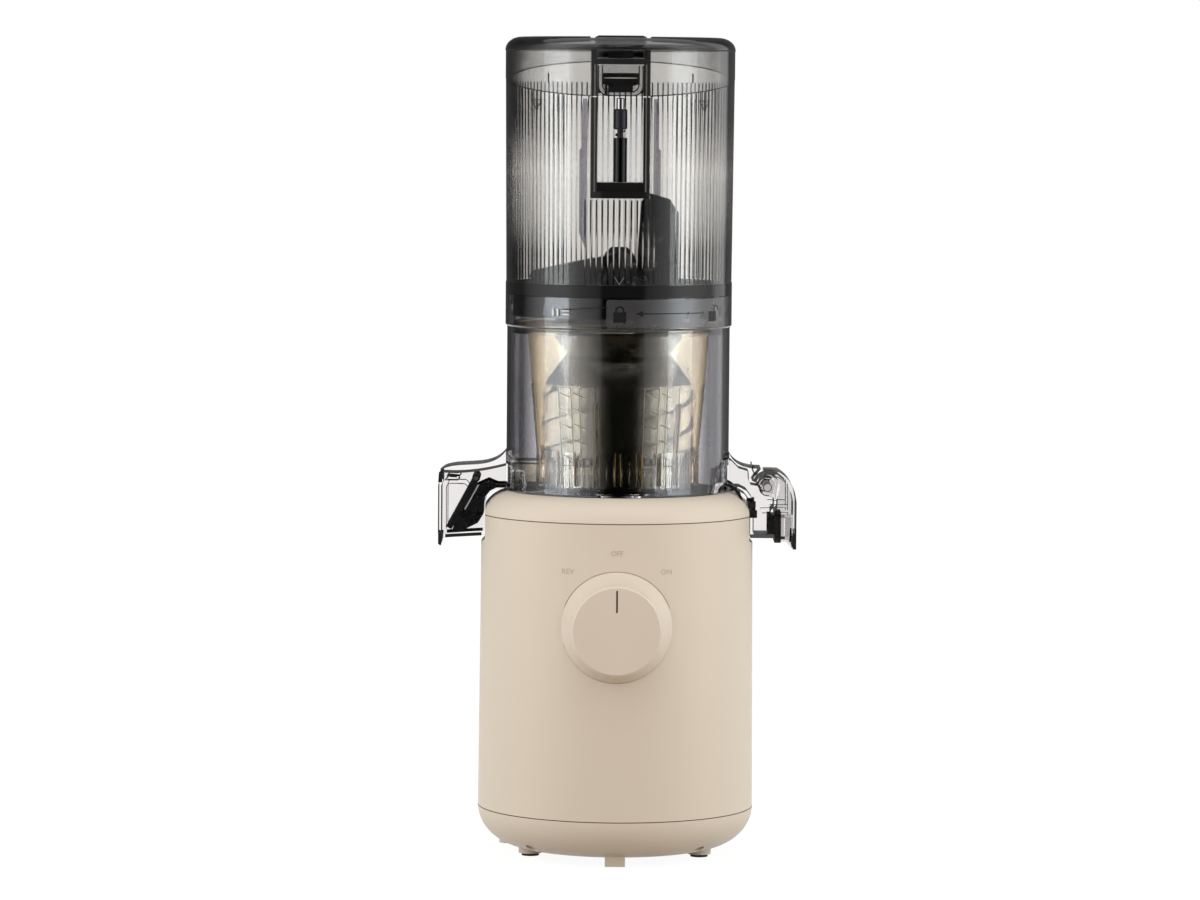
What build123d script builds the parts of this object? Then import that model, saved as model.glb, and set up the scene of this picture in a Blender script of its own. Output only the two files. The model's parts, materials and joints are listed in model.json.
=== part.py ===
from build123d import *
import os
from math import acos, cos, degrees, hypot, pi, radians, sin, sqrt, tan

# Cold press juicer. Millimetres, +Z up, +X to the juice spout, -Y to the front.
# The origin is where the axis of the juicing screw meets the surface that the juicer stands on.

# ---- fits ----
SEAT = 0.05  # gap between two pieces that are fixed to each other
RUN = 0.06  # radial gap of a shaft in its bearing
FREE = 0.3  # gap between pieces that move past each other

# ---- the two sizes that place everything else ----
CHAMBER_R = 61.3  # outside radius of the juicing chamber
DECK_Z = 201.0  # top of the base's shoulder

# ---- base ----
FOOT_H = 4.0  # underside of the pan above the surface
PAN_H = 22.4
PAN_SEAM_Z = FOOT_H + PAN_H
DECK_EDGE_R = CHAMBER_R + 0.7  # where the shoulder starts to fall
SHOULDER_REACH = 12.8
SHOULDER_H = 13.0
SHELL_TOP_R = DECK_EDGE_R + SHOULDER_REACH
CAP_SEAM_Z = DECK_Z - SHOULDER_H
SHOULDER_MID = (SHELL_TOP_R - SHOULDER_REACH * 0.33, DECK_Z - SHOULDER_H * 0.37)  # half way down the shoulder
SHELL_TAPER = 1.2
PAN_R = SHELL_TOP_R + SHELL_TAPER  # widest radius, at the pan seam
PAN_CURVE = 26.0
PAN_CURVE_R = PAN_R - PAN_CURVE  # where the pan's curve runs into its flat underside
CASE_WALL = 2.5
FLAT_INSET = 2.2
FLAT_X = SHELL_TOP_R - FLAT_INSET  # the two side flats that the spouts hang beside
FLAT_LOW_Z = DECK_Z - 26.7
FLAT_SLOPE = 0.75
RECESS_R = CHAMBER_R - 2.3  # seat of the chamber in the shoulder
RECESS_DEEP = 5.0
RECESS_Z = DECK_Z - RECESS_DEEP
RECESS_WALL = 3.0
SPIGOT_H = 6.0
SPIGOT_WALL = 2.5
KEY_HALF_W = 19.0

# ---- columns that tie pan, shell and gearbox together ----
COLUMN_R = 4.5
COLUMN_AT = (SHELL_TOP_R - 10.7) * sqrt(0.5)
WEB_T = 2.4
SCREW_R = 1.5
SCREW_HEAD_R = 3.0
SCREW_HEAD_H = 2.4
SCREW_REACH = 12.0
PAN_SCREW_Z = PAN_SEAM_Z - 6.8  # seat of the pan screws' heads

# ---- feet ----
FOOT_R = 4.8
POD_R = 6.5
POD_Z = 1.5
FRONT_FEET = (PAN_R * 0.612, -PAN_R * 0.237)
REAR_FEET = (PAN_R * 0.447, PAN_R * 0.579)
TAB_W = 11.0
TAB_D = 6.0
TAB_Y = -PAN_CURVE_R - 7.0
VENTS = 12
VENT_W = 3.0
VENT_IN = 14.0
VENT_L = 22.0

# ---- gland where the lead comes out, low at the back ----
GLAND_R = 5.0
GLAND_BORE_R = 3.2
GLAND_LIP = 1.8
GLAND_LIP_L = 2.5
GLAND_Z = PAN_SEAM_Z - 7.4
GLAND_IN = PAN_R - 14.0
GLAND_OUT = PAN_R + 2.5
GLAND_TURN = 156.0
NUB_R = 4.5
NUB_AT = PAN_R - 10.2

# ---- knob and switch ----
KNOB_Z = DECK_Z - 68.8
KNOB_R = 30.0
KNOB_FACE_R = 23.9
KNOB_H = 26.1
KNOB_WALL = 2.2
KNOB_LIFT = 0.4
POCKET_R = KNOB_R + FREE + 0.1
POCKET_DEEP = 5.3
POCKET_Y = -(SHELL_TOP_R - POCKET_DEEP)
POINTER_IN = 10.1
POINTER_L = 12.1
POINTER_W = 1.0
POINTER_DEEP = 0.9
KNOB_SHAFT_R = 3.0
KNOB_HUB_WALL = 3.5
SWITCH_W = 28.0
SWITCH_D = 18.0
SHAFT_IN_SWITCH = 14.0
PIN_L = 5.0
PIN_SPACING = 8.0

# ---- gear train: two stages of four to one ----
PINION_TEETH = 12
WHEEL_TEETH = 48
MODULE_1 = 1.0
MODULE_2 = 1.25
PRESSURE = 25.0
BACKLASH = 0.24
PLATE_Z = 118.0
PLATE_T = 4.0
PLATE_R = SHELL_TOP_R - 5.8
STAGE_1_H = 7.0
STAGE_2_H = 10.0
STAGE_GAP = 2.4
STAGE_1_Z = PLATE_Z + PLATE_T + STAGE_GAP
STAGE_2_Z = STAGE_1_Z + STAGE_1_H + 1.5 * STAGE_GAP
TOP_PLATE_Z = STAGE_2_Z + STAGE_2_H + 2 * STAGE_GAP + 0.2
COUNTER_SHAFT_R = 4.0
BUSH_WALL = 3.0
DRIVE_R = 8.0
DRIVE_COLLAR_R = DRIVE_R + 3.0
DRIVE_COLLAR_H = 4.0
BEARING_R = DRIVE_R + 4.0
BEARING_H = 6.0
DECK_BEARING_Z = RECESS_Z - 2 * BEARING_H - 1.0
HEX_ACROSS = 12.8
HEX_Z = DECK_Z + 8.0
HEX_H = 29.0

# ---- motor ----
MOTOR_R = 34.0
MOTOR_H = 72.0
MOTOR_LOW_Z = PLATE_Z - MOTOR_H
MOTOR_RIM = 5.0
BELL_H = 4.0
MOTOR_SHAFT_R = 2.5
MOTOR_GROOVE = 3.0
FAN_H = 8.0
FAN_Z = MOTOR_LOW_Z - BELL_H - FAN_H - 1.0
FAN_R = MOTOR_R - 6.0
FAN_HUB_R = 8.0
FAN_BLADES = 9
FAN_SHROUD = 1.2
MOTOR_SCREW_AT = MOTOR_R - 10.0

# ---- control board ----
BOARD_Z = FOOT_H + 10.0
BOARD_L = 66.0
BOARD_W = 50.0
BOARD_T = 1.6
BOARD_EDGE = 5.0
CAN_R = 6.0
CAN_H = FAN_Z - BOARD_Z - BOARD_T - 4.4
RELAY_H = 0.7 * CAN_H

# ---- chamber ----
CHAMBER_WALL = 2.6
CHAMBER_LOW_Z = DECK_Z + 0.4
FLOOR_Z = DECK_Z + 1.0  # inside floor
FLOOR_T = 3.0
CHAMBER_H = 107.0
COLLAR_TOP_Z = FLOOR_Z + CHAMBER_H
COLLAR_H = 16.4
COLLAR_R = CHAMBER_R + 1.0
COLLAR_Z = COLLAR_TOP_Z - COLLAR_H
FOOT_RING_R = RECESS_R - 0.4
SEAT_RING_T = 1.0
SEAT_RING_W = 6.0
GROOVE_R = CHAMBER_R - 0.7
GROOVE_H = 4.4
GROOVE_Z = COLLAR_TOP_Z - 10.0
LUG_R = GROOVE_R - 0.4
LUG_H = GROOVE_H - 0.8
LUG_SPREAD = 20.0
LUGS = 3
LUG_START = 20.0
UNLOCK_TURN = 60.0
TUBE_BORE_R = DRIVE_R + 1.6
TUBE_R = TUBE_BORE_R + 2.9
TUBE_H = 7.0
TUBE_TOP_Z = FLOOR_Z + TUBE_H
PORT_Z = FLOOR_Z + 2.5
PORT_H = 11.0
PORT_HALF_W = 10.0

# ---- strainer ----
STRAINER_R = CHAMBER_R - 16.8
STRAINER_TOP_R = STRAINER_R + 5.5
STRAINER_WALL = 1.4
STRAINER_FLOOR_T = 2.4
STRAINER_STRAIGHT = 22.0
STRAINER_CONE_Z = FLOOR_Z + STRAINER_STRAIGHT
STRAINER_TOP_Z = COLLAR_TOP_Z - 19.0
STRAINER_FLANGE_T = 2.0
SLITS = 24
SLIT_W = 2.4
SLIT_H = 18.0
SLIT_Z = FLOOR_Z + 4.0
LONG_SLIT_H = 45.0  # every fourth slit is a long one

# ---- juicing screw ----
SCREW_CORE_R = STRAINER_R - 4.2
FLIGHT_R = STRAINER_R - STRAINER_WALL - 0.5
FLIGHT_W = 2.6
FLIGHTS = 4
FLIGHT_LEAD = 60.0
FLIGHT_TOP_Z = COLLAR_TOP_Z - 49.0
NECK_R = SCREW_CORE_R - 11.3
NECK_Z = FLIGHT_TOP_Z + 16.0
CROWN_R = NECK_R + 10.0
CROWN_TOP_R = NECK_R + 1.0
CROWN_TOP_Z = COLLAR_TOP_Z - 9.0
CROWN_Z = CROWN_TOP_Z - 9.0

# ---- feeding wing ----
HUB_H = 35.0
HUB_TOP_Z = CROWN_TOP_Z + HUB_H
HUB_TOP_R = 7.5
HUB_LOW_R = CROWN_TOP_R - 3.0
BLADE_T = 6.0
BLADE_IN = 12.0
BLADE_OUT = 32.7
BLADE_H = 30.0
BLADE_TOP_Z = HUB_TOP_Z + BLADE_H
RAMP_HALF_W = 9.0
RAMP_OUT = 49.0
RAMP_IN_Z = HUB_TOP_Z - 7.5
RAMP_OUT_Z = HUB_TOP_Z - 13.3

# ---- hopper ----
RING_H = 7.0
HOPPER_LOW_R = CHAMBER_R + 0.7
HOPPER_FLARE = 1.0
HOPPER_TOP_R = HOPPER_LOW_R + HOPPER_FLARE
HOPPER_WALL = 2.5
HOPPER_LOW_Z = COLLAR_TOP_Z + RING_H
HOPPER_H = 101.5
SPLIT_FRONT_Z = HOPPER_LOW_Z + HOPPER_H  # the slanted joint between hopper and lid skirt
SPLIT_RISE = 20.0
SPIGOT_R = CHAMBER_R - CHAMBER_WALL - FREE
SPIGOT_IN_R = SPIGOT_R - 2.9
SPIGOT_LOW_Z = COLLAR_TOP_Z - 11.5

# ---- latch channel and interlock ----
CHANNEL_HALF_W = 15.9
CHANNEL_SIDE = 3.5
CHANNEL_IN_HALF_W = CHANNEL_HALF_W - CHANNEL_SIDE
CHANNEL_H = 54.5
CHANNEL_LOW_Z = SPLIT_FRONT_Z - CHANNEL_H
CHANNEL_BAR = 3.8
CHANNEL_DEEP = 13.0
CHANNEL_BACK_Y = -(HOPPER_TOP_R - CHANNEL_DEEP)
CHANNEL_BACK_T = 2.0
LEDGE_H = 4.9
LEDGE_TOP_Z = CHANNEL_LOW_Z + CHANNEL_BAR + LEDGE_H
ROD_Y = -(HOPPER_TOP_R - 5.5)
ROD_R = 1.7
SLEEVE_R = 3.75
SLEEVE_WALL = 0.65
SLEEVE_IN_R = SLEEVE_R - SLEEVE_WALL
HEAD_H = 11.0
TIP_R = 2.2
TIP_H = 6.0
TIP_TOP_Z = SPLIT_FRONT_Z - 0.5
HEAD_TOP_Z = TIP_TOP_Z - TIP_H
HEAD_LOW_Z = HEAD_TOP_Z - HEAD_H
ROD_TRAVEL = 4.0
SLEEVE_TOP_Z = HEAD_LOW_Z - ROD_TRAVEL - 0.5
SPRING_WIRE = 0.7
SPRING_TURNS = 6

# ---- lid ----
SKIRT_H = 5.5  # height of the skirt at the back, where it is least
LID_Z = SPLIT_FRONT_Z + SPLIT_RISE + SKIRT_H
LID_H = 7.0
LID_TOP_Z = LID_Z + LID_H
LID_R = HOPPER_TOP_R + 0.2
LID_EDGE = 9.0
LID_WALL = 2.5
STRAP_HALF_W = 13.75
STRAP_GROOVE = 2.75
STRAP_DEEP = 0.8
BUTTON_H = 17.0
BUTTON_TOP_Z = SPLIT_FRONT_Z + BUTTON_H
BUTTON_HALF_W = CHANNEL_IN_HALF_W - FREE
BUTTON_T = 4.6
BUTTON_SUNK = 0.8
BUTTON_CORNER_R = 5.4
BUTTON_TRAVEL = 2.0
RAIL_W = 1.0
RAIL_T = 1.6
FINGER_W = 15.2
FINGER_H = 7.0
HINGE_OUT = 4.5
HINGE_Y = HOPPER_TOP_R + HINGE_OUT
HINGE_Z = LID_Z - 2.0
HINGE_PIN_R = 1.6
EAR_R = 4.0
EAR_T = 6.0
KNUCKLE_R = 3.6
KNUCKLE_HALF_W = 7.7
EAR_IN = KNUCKLE_HALF_W + FREE
EAR_OUT = EAR_IN + EAR_T

# ---- spouts ----
SPOUT_HALF_W = 15.0
SPOUT_WALL = 1.9
SPOUT_GAP = 0.6  # between a spout and the base's side
WALL_X = CHAMBER_R + SEAT
BESIDE_X = FLAT_X + SPOUT_GAP
SPOUT_LOW_Z = DECK_Z - 25.0
MOUTH_TOP_Z = SPOUT_LOW_Z + 12.5
SPOUT_END_X = BESIDE_X + 13.2
CAP_PIN_X = CHAMBER_R + 21.1
CAP_PIN_Z = DECK_Z + 3.1
CAP_PIN_R = 2.0
CAP_BOSS_R = 4.7
CAP_WALL = 1.8
CAP_END_X = SPOUT_END_X + 12.1
CAP_LOW_Z = SPOUT_LOW_Z - 6.0
SWING_OUT = 9.1  # radii about the cap's pin that its roof swings between
SWING_IN = 6.8
CAP_OPENS = 50.0
SEAL_T = 3.5
HOOD_END_X = WALL_X + 37.15
HOOD_WALL = 1.6
HOOD_LOW_Z = DECK_Z - 26.0
HOOD_LIP_Z = DECK_Z - 30.2
HOOD_ROOF_Z = DECK_Z + 12.2
FLAP_TOP = (-CHAMBER_R - 17.1, DECK_Z + 8.8)
FLAP_TIP = (-CHAMBER_R - 32.7, DECK_Z - 20.0)
FLAP_T = 3.3
FLAP_PIN = (FLAP_TOP[0] + 0.7, FLAP_TOP[1] - 1.9)
FLAP_PIN_R = 1.2
CHUTE_HALF_W = SPOUT_HALF_W - 2.4
CHUTE_WALL = 1.8
FAR = 200.0  # well outside everything, for cuts


# ---------------------------------------------------------------- helpers
def disc(radius, z0, z1, x=0.0, y=0.0):
    """A round bar along Z."""
    low = (Align.CENTER, Align.CENTER, Align.MIN)
    return Pos(x, y, z0) * Cylinder(radius, z1 - z0, align=low)


def ring(outer, inner, z0, z1, x=0.0, y=0.0):
    return disc(outer, z0, z1, x, y) - disc(inner, z0 - 1, z1 + 1, x, y)


def block(x0, x1, y0, y1, z0, z1):
    return Pos((x0 + x1) / 2, (y0 + y1) / 2, (z0 + z1) / 2) * Box(x1 - x0, y1 - y0, z1 - z0)


def turned(points):
    """A solid of revolution about Z from (radius, height) points."""
    return revolve(Plane.XZ * make_face(Polyline(*points, close=True)), Axis.Z)


def side_plate(outline, half_width):
    """A face drawn in X and Z, made 2 * half_width wide across Y."""
    return extrude(Plane.XZ * outline, half_width, both=True)


def end_plate(points, x0, x1):
    """A polygon drawn in Y and Z, between two places along X."""
    return Pos(x0, 0, 0) * extrude(Plane.YZ * Polygon(*points, align=None), x1 - x0, dir=(1, 0, 0))


def bar_along_y(radius, x, y0, y1, z):
    return Pos(x, (y0 + y1) / 2, z) * Rot(90, 0, 0) * Cylinder(radius, abs(y1 - y0))


def bar_along_x(radius, x0, x1, y, z):
    return Pos((x0 + x1) / 2, y, z) * Rot(0, 90, 0) * Cylinder(radius, x1 - x0)


def columns():
    return [(sx * COLUMN_AT, sy * COLUMN_AT) for sx in (-1, 1) for sy in (-1, 1)]


def merged(shapes):
    whole = shapes[0]
    for shape in shapes[1:]:
        whole = whole + shape
    return whole


def save(name, *shapes):
    solids = [solid for shape in shapes for solid in shape.solids()]
    whole = solids[0] if len(solids) == 1 else Compound(children=solids)
    whole.label = name
    export_step(whole, f"parts/{name}.step")


# ---------------------------------------------------------------- base casing
def side_flats(inset):
    """What is cut away outside the two side flats, moved inwards by inset."""
    x, far = FLAT_X - inset, PAN_R + 10
    z = FLAT_LOW_Z - inset
    outline = Polygon((x, FAR * 2), (x, z), (far, z - FLAT_SLOPE * (far - x)), (far, FAR * 2), align=None)
    wedge = side_plate(outline, far)
    return wedge + mirror(wedge, Plane.YZ)


def shell_body(inset):
    low, high = PAN_R - inset, SHELL_TOP_R - inset
    cone = turned([(0, PAN_SEAM_Z), (low, PAN_SEAM_Z), (high, CAP_SEAM_Z), (0, CAP_SEAM_Z)])
    return cone - side_flats(inset)


def base_shell():
    shell = shell_body(0) - shell_body(CASE_WALL)
    cup_y = POCKET_Y + CASE_WALL
    cup = bar_along_y(POCKET_R + CASE_WALL, 0, -PAN_R, cup_y, KNOB_Z) & shell_body(0)
    shell = shell + cup - bar_along_y(POCKET_R, 0, -PAN_R - 5, POCKET_Y, KNOB_Z)
    shell = shell - bar_along_y(KNOB_SHAFT_R + FREE, 0, -PAN_R, cup_y + 5, KNOB_Z)
    for x, y in columns():
        out = hypot(x, y)
        web = Rot(0, 0, degrees(atan_full(y, x))) * block(
            out, SHELL_TOP_R - CASE_WALL / 5, -WEB_T / 2, WEB_T / 2, PAN_SEAM_Z, PLATE_Z)
        column = disc(COLUMN_R, PAN_SEAM_Z, PLATE_Z, x, y) + web
        column = column - disc(SCREW_R + SEAT, PAN_SEAM_Z - 1, PAN_SEAM_Z + SCREW_REACH + 2, x, y)
        shell = shell + (column - disc(SCREW_R + SEAT, PLATE_Z - SCREW_REACH, PLATE_Z + 1, x, y))
    return shell


def atan_full(y, x):
    """The angle of (x, y), in radians."""
    angle = acos(x / hypot(x, y))
    return angle if y >= 0 else -angle


def shoulder_body():
    edge = Line((0, CAP_SEAM_Z), (SHELL_TOP_R, CAP_SEAM_Z))
    edge += ThreePointArc((SHELL_TOP_R, CAP_SEAM_Z), SHOULDER_MID, (DECK_EDGE_R, DECK_Z))
    edge += Polyline((DECK_EDGE_R, DECK_Z), (0, DECK_Z), (0, CAP_SEAM_Z))
    return revolve(Plane.XZ * make_face(edge), Axis.Z) - side_flats(0)


def shoulder_cap():
    floor_low = RECESS_Z - RECESS_WALL
    cap = shoulder_body() - disc(RECESS_R, RECESS_Z, DECK_Z + 1)
    core, rim = RECESS_R + RECESS_WALL, SHELL_TOP_R - CASE_WALL - 1
    hollow = turned([(core, CAP_SEAM_Z - 1), (rim, CAP_SEAM_Z - 1), (rim, CAP_SEAM_Z + 0.23 * SHOULDER_H),
                     (core, CAP_SEAM_Z + 0.54 * SHOULDER_H)])
    cap = cap - (hollow - side_flats(CASE_WALL))
    cap = cap - disc(core, CAP_SEAM_Z - 1, floor_low)
    low, high = CAP_SEAM_Z - SPIGOT_H, CAP_SEAM_Z + 0.5
    fit = SHELL_TOP_R - CASE_WALL - SEAT
    spigot = ring(fit, fit - SPIGOT_WALL, low, high)
    side = FLAT_X - CASE_WALL - SEAT
    keep = block(-side, side, -FAR, FAR, 0, FAR * 2)
    walls = block(side - SPIGOT_WALL, side, -KEY_HALF_W, KEY_HALF_W, low, high)
    walls = (walls + mirror(walls, Plane.YZ)) & disc(fit - SPIGOT_WALL / 2, 0, FAR * 2)
    cap = cap + (spigot & keep) + walls
    boss = ring(BEARING_R + RECESS_WALL, BEARING_R + SEAT, DECK_BEARING_Z - 1, RECESS_Z)
    return cap - disc(BEARING_R + SEAT, floor_low - 1, RECESS_Z + 1) + boss


def pan_outline(inset):
    """The pan's half section, a quarter ellipse down to a flat underside."""
    wide, deep = PAN_R - PAN_CURVE_R - inset, PAN_SEAM_Z - FOOT_H - inset
    low = PAN_SEAM_Z - deep
    curve = EllipticalCenterArc((PAN_CURVE_R, PAN_SEAM_Z), wide, deep, 270, arc_size=90)
    edge = curve + Polyline((PAN_CURVE_R + wide, PAN_SEAM_Z), (0, PAN_SEAM_Z), (0, low), (PAN_CURVE_R, low))
    return revolve(Plane.XZ * make_face(edge), Axis.Z)


def base_pan():
    outer = pan_outline(0)
    pan = outer - pan_outline(CASE_WALL)
    posts = merged([disc(COLUMN_R, FOOT_H, PAN_SEAM_Z, x, y) for x, y in columns()])
    pan = pan + (posts & outer)
    for x, y in columns():
        pan = pan - disc(SCREW_R + 0.2, 0, PAN_SEAM_Z + 1, x, y)
        pan = pan - disc(SCREW_HEAD_R + FREE, 0, PAN_SCREW_Z, x, y)
    for x, y in foot_places():
        pan = pan + disc(POD_R, POD_Z, FOOT_H + CASE_WALL, x, y)
    for x, y in foot_places():
        pan = pan - disc(FOOT_R + SEAT, 0, FOOT_H, x, y)
    tab = block(-TAB_W / 2, TAB_W / 2, TAB_Y - TAB_D / 2, TAB_Y + TAB_D / 2, 0, FOOT_H + CASE_WALL)
    pan = pan + tab + Rot(0, 0, GLAND_TURN) * disc(NUB_R, FOOT_H / 10, FOOT_H * 3, NUB_AT)
    slot = Pos(VENT_IN + VENT_L / 2, 0, 0) * SlotOverall(VENT_L, VENT_W)
    for i in range(VENTS):
        pan = pan - Rot(0, 0, (i + 0.5) * 360 / VENTS) * extrude(slot, FOOT_H + CASE_WALL + 1)
    for x, y in board_corners():
        pan = pan + ring(3.0, SCREW_R, FOOT_H + CASE_WALL - 0.5, BOARD_Z, x, y)
    collar = gland_bar(GLAND_R + GLAND_LIP + FREE, GLAND_IN - 4, GLAND_IN + GLAND_LIP_L)
    return pan - gland_bar(GLAND_R, GLAND_IN - 4, GLAND_OUT + 4) - collar


def foot_places():
    return [(side * x, y) for x, y in (FRONT_FEET, REAR_FEET) for side in (-1, 1)]


def rubber_feet():
    return [disc(FOOT_R, 0, FOOT_H, x, y) for x, y in foot_places()]


def pan_screws():
    return [
        disc(SCREW_HEAD_R, PAN_SCREW_Z - SCREW_HEAD_H, PAN_SCREW_Z, x, y)
        + disc(SCREW_R, PAN_SCREW_Z - 1, PAN_SEAM_Z + SCREW_REACH, x, y)
        for x, y in columns()
    ]


def gland_bar(radius, near, far):
    return Rot(0, 0, GLAND_TURN) * bar_along_x(radius, near, far, 0, GLAND_Z)


def cord_gland():
    body = gland_bar(GLAND_R - SEAT, GLAND_IN, GLAND_OUT)
    collar = gland_bar(GLAND_R + GLAND_LIP, GLAND_IN, GLAND_IN + GLAND_LIP_L)
    return body + collar - gland_bar(GLAND_BORE_R, GLAND_IN - 1, GLAND_OUT + 1)


# ---------------------------------------------------------------- knob and switch
def knob():
    """Drawn with its axis up Z and its face on top, then laid over to face the front."""
    back = -POCKET_Y + KNOB_LIFT
    face = back + KNOB_H
    top = KNOB_FACE_R + 0.5
    rim = back + POCKET_DEEP
    waist = (top + (KNOB_R - top) * 0.26, (rim + face) / 2 - 1.0)
    edge = Polyline((0, back), (KNOB_R, back), (KNOB_R, rim))
    edge += ThreePointArc((KNOB_R, rim), waist, (top, face - 1.2))
    edge += Polyline((top, face - 1.2), (top - 1.1, face), (0, face), (0, back))
    body = revolve(Plane.XZ * make_face(edge), Axis.Z)
    hollow = Cone(KNOB_R - KNOB_WALL, KNOB_FACE_R - KNOB_WALL - 0.8, KNOB_H - KNOB_WALL + 1,
                  align=(Align.CENTER, Align.CENTER, Align.MIN))
    body = body - Pos(0, 0, back - 1) * hollow
    hub_r = KNOB_SHAFT_R + KNOB_HUB_WALL
    body = body + ring(hub_r, KNOB_SHAFT_R + SEAT / 2, back + 1, face - KNOB_WALL + 0.1)
    slot = SlotOverall(POINTER_L, POINTER_W, rotation=90)
    groove = Pos(0, POINTER_IN + POINTER_L / 2, face - POINTER_DEEP) * extrude(slot, POINTER_DEEP + 1)
    return Pos(0, 0, KNOB_Z) * Rot(90, 0, 0) * (body - groove)


def switch_shaft():
    front = POCKET_Y - KNOB_LIFT - KNOB_H + KNOB_WALL + 0.4
    return bar_along_y(KNOB_SHAFT_R, 0, front, POCKET_Y + CASE_WALL + SHAFT_IN_SWITCH, KNOB_Z)


def rotary_switch():
    y0 = POCKET_Y + CASE_WALL + SEAT
    half = SWITCH_W / 2
    body = block(-half, half, y0, y0 + SWITCH_D, KNOB_Z - half, KNOB_Z + half)
    body = chamfer(body.edges().filter_by(Axis.Y), 3.0)
    y1 = y0 + SWITCH_D
    pins = merged([block(x - 0.4, x + 0.4, y1 - 1, y1 + PIN_L, KNOB_Z - 5, KNOB_Z - 2)
                   for x in (-PIN_SPACING, 0, PIN_SPACING)])
    return body + pins - bar_along_y(KNOB_SHAFT_R + RUN, 0, y0 - 1, y0 + SHAFT_IN_SWITCH + 1, KNOB_Z)


# ---------------------------------------------------------------- gears
def involute(angle):
    return tan(angle) - angle


def toothed(module, teeth, phase=0.0):
    """The outline of a spur gear; the flanks are chords of an involute, thinned for backlash."""
    pitch = module * teeth / 2
    base = pitch * cos(radians(PRESSURE))
    tip, root = pitch + module, pitch - 1.25 * module
    half = pi / (2 * teeth) - BACKLASH / 4 / pitch + involute(radians(PRESSURE))

    def half_angle(radius):
        return half - involute(acos(min(1.0, base / max(radius, base))))

    radii = [root, max(base, root), pitch, tip]
    flank = sorted({round(r, 6) for r in radii})
    points = []
    for tooth in range(teeth):
        centre = 2 * pi * tooth / teeth + radians(phase)
        for sign, steps in ((-1, flank), (1, flank[::-1])):
            for r in steps:
                a = centre + sign * half_angle(r)
                points.append((r * cos(a), r * sin(a)))
    return Polygon(*points, align=None)


def gear(module, teeth, z0, height, x=0.0, phase=0.0):
    return Pos(x, 0, z0) * extrude(toothed(module, teeth, phase), height)


def centre_distance(module):
    return module * (PINION_TEETH + WHEEL_TEETH) / 2


COUNTER_X = centre_distance(MODULE_2)
MOTOR_X = COUNTER_X - centre_distance(MODULE_1)
HALF_TOOTH = 180 / PINION_TEETH


def wheel_web(module, z0, height, x, hub_r, bore_r):
    """Lightens a wheel: a thin web with round holes between hub and rim."""
    rim = module * WHEEL_TEETH / 2 - 4 * module
    side = ring(rim, hub_r, 0, height)
    skin = height * 0.28
    cut = Pos(x, 0, z0 + height - skin) * side + Pos(x, 0, z0 - height + skin) * side
    hole = disc((rim - hub_r) / 2 - 1.6, z0 - 1, z0 + height + 1, (rim + hub_r) / 2)
    holes = [Pos(x, 0, 0) * Rot(0, 0, 60 * i + 30) * hole for i in range(6)]
    return cut + merged(holes) + disc(bore_r, z0 - 1, z0 + height + 1, x)


def output_gear():
    wheel = gear(MODULE_2, WHEEL_TEETH, STAGE_2_Z, STAGE_2_H)
    return wheel - wheel_web(MODULE_2, STAGE_2_Z, STAGE_2_H, 0, DRIVE_R + 5, DRIVE_R + SEAT)


def drive_shaft():
    shaft = disc(DRIVE_R, STAGE_2_Z - 0.8, HEX_Z)
    top = TOP_PLATE_Z + BEARING_H
    shaft = shaft + disc(DRIVE_COLLAR_R, top + FREE, top + FREE + DRIVE_COLLAR_H)
    shaft = shaft + disc(DRIVE_COLLAR_R - 1, STAGE_2_Z - 2, STAGE_2_Z - SEAT)
    head = extrude(RegularPolygon(HEX_ACROSS / 2, 6, major_radius=False), HEX_H + 1)
    head = chamfer(head.edges().group_by(Axis.Z)[-1], 1.2)
    return shaft + Pos(0, 0, HEX_Z - 1) * head


def counter_gear():
    wheel = gear(MODULE_1, WHEEL_TEETH, STAGE_1_Z, STAGE_1_H, COUNTER_X)
    hub_r, bore_r = COUNTER_SHAFT_R + 4, COUNTER_SHAFT_R + SEAT
    return wheel - wheel_web(MODULE_1, STAGE_1_Z, STAGE_1_H, COUNTER_X, hub_r, bore_r)


def counter_shaft():
    shaft = disc(COUNTER_SHAFT_R, PLATE_Z + 0.5, TOP_PLATE_Z + PLATE_T - 0.5, COUNTER_X)
    pinion = gear(MODULE_2, PINION_TEETH, STAGE_2_Z - 1, STAGE_2_H + 2, COUNTER_X, HALF_TOOTH)
    low = disc(COUNTER_SHAFT_R + 2, PLATE_Z + PLATE_T + FREE, STAGE_1_Z - SEAT, COUNTER_X)
    return shaft + pinion + low


def motor_shaft():
    shaft = disc(MOTOR_SHAFT_R, FAN_Z - 2, STAGE_1_Z + STAGE_1_H + 1, MOTOR_X)
    return shaft + gear(MODULE_1, PINION_TEETH, STAGE_1_Z - 0.5, STAGE_1_H + 1, MOTOR_X, HALF_TOOTH)


def cooling_fan():
    hub = ring(FAN_HUB_R, MOTOR_SHAFT_R + SEAT, FAN_Z, FAN_Z + FAN_H, MOTOR_X)
    blade = Rot(38, 0, 0) * Box(FAN_R - FAN_HUB_R + 2.4, 1.4, FAN_H + 6)
    span = ring(FAN_R - FAN_SHROUD / 2, FAN_HUB_R - 1, 0.3, FAN_H - 0.3)
    blades = [Rot(0, 0, 360 * i / FAN_BLADES) * (Pos((FAN_R + FAN_HUB_R) / 2, 0, FAN_H / 2) * blade)
              for i in range(FAN_BLADES)]
    shroud = ring(FAN_R, FAN_R - FAN_SHROUD, 0.3, FAN_H - 0.3)
    return hub + Pos(MOTOR_X, 0, FAN_Z) * ((merged(blades) & span) + shroud)


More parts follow.
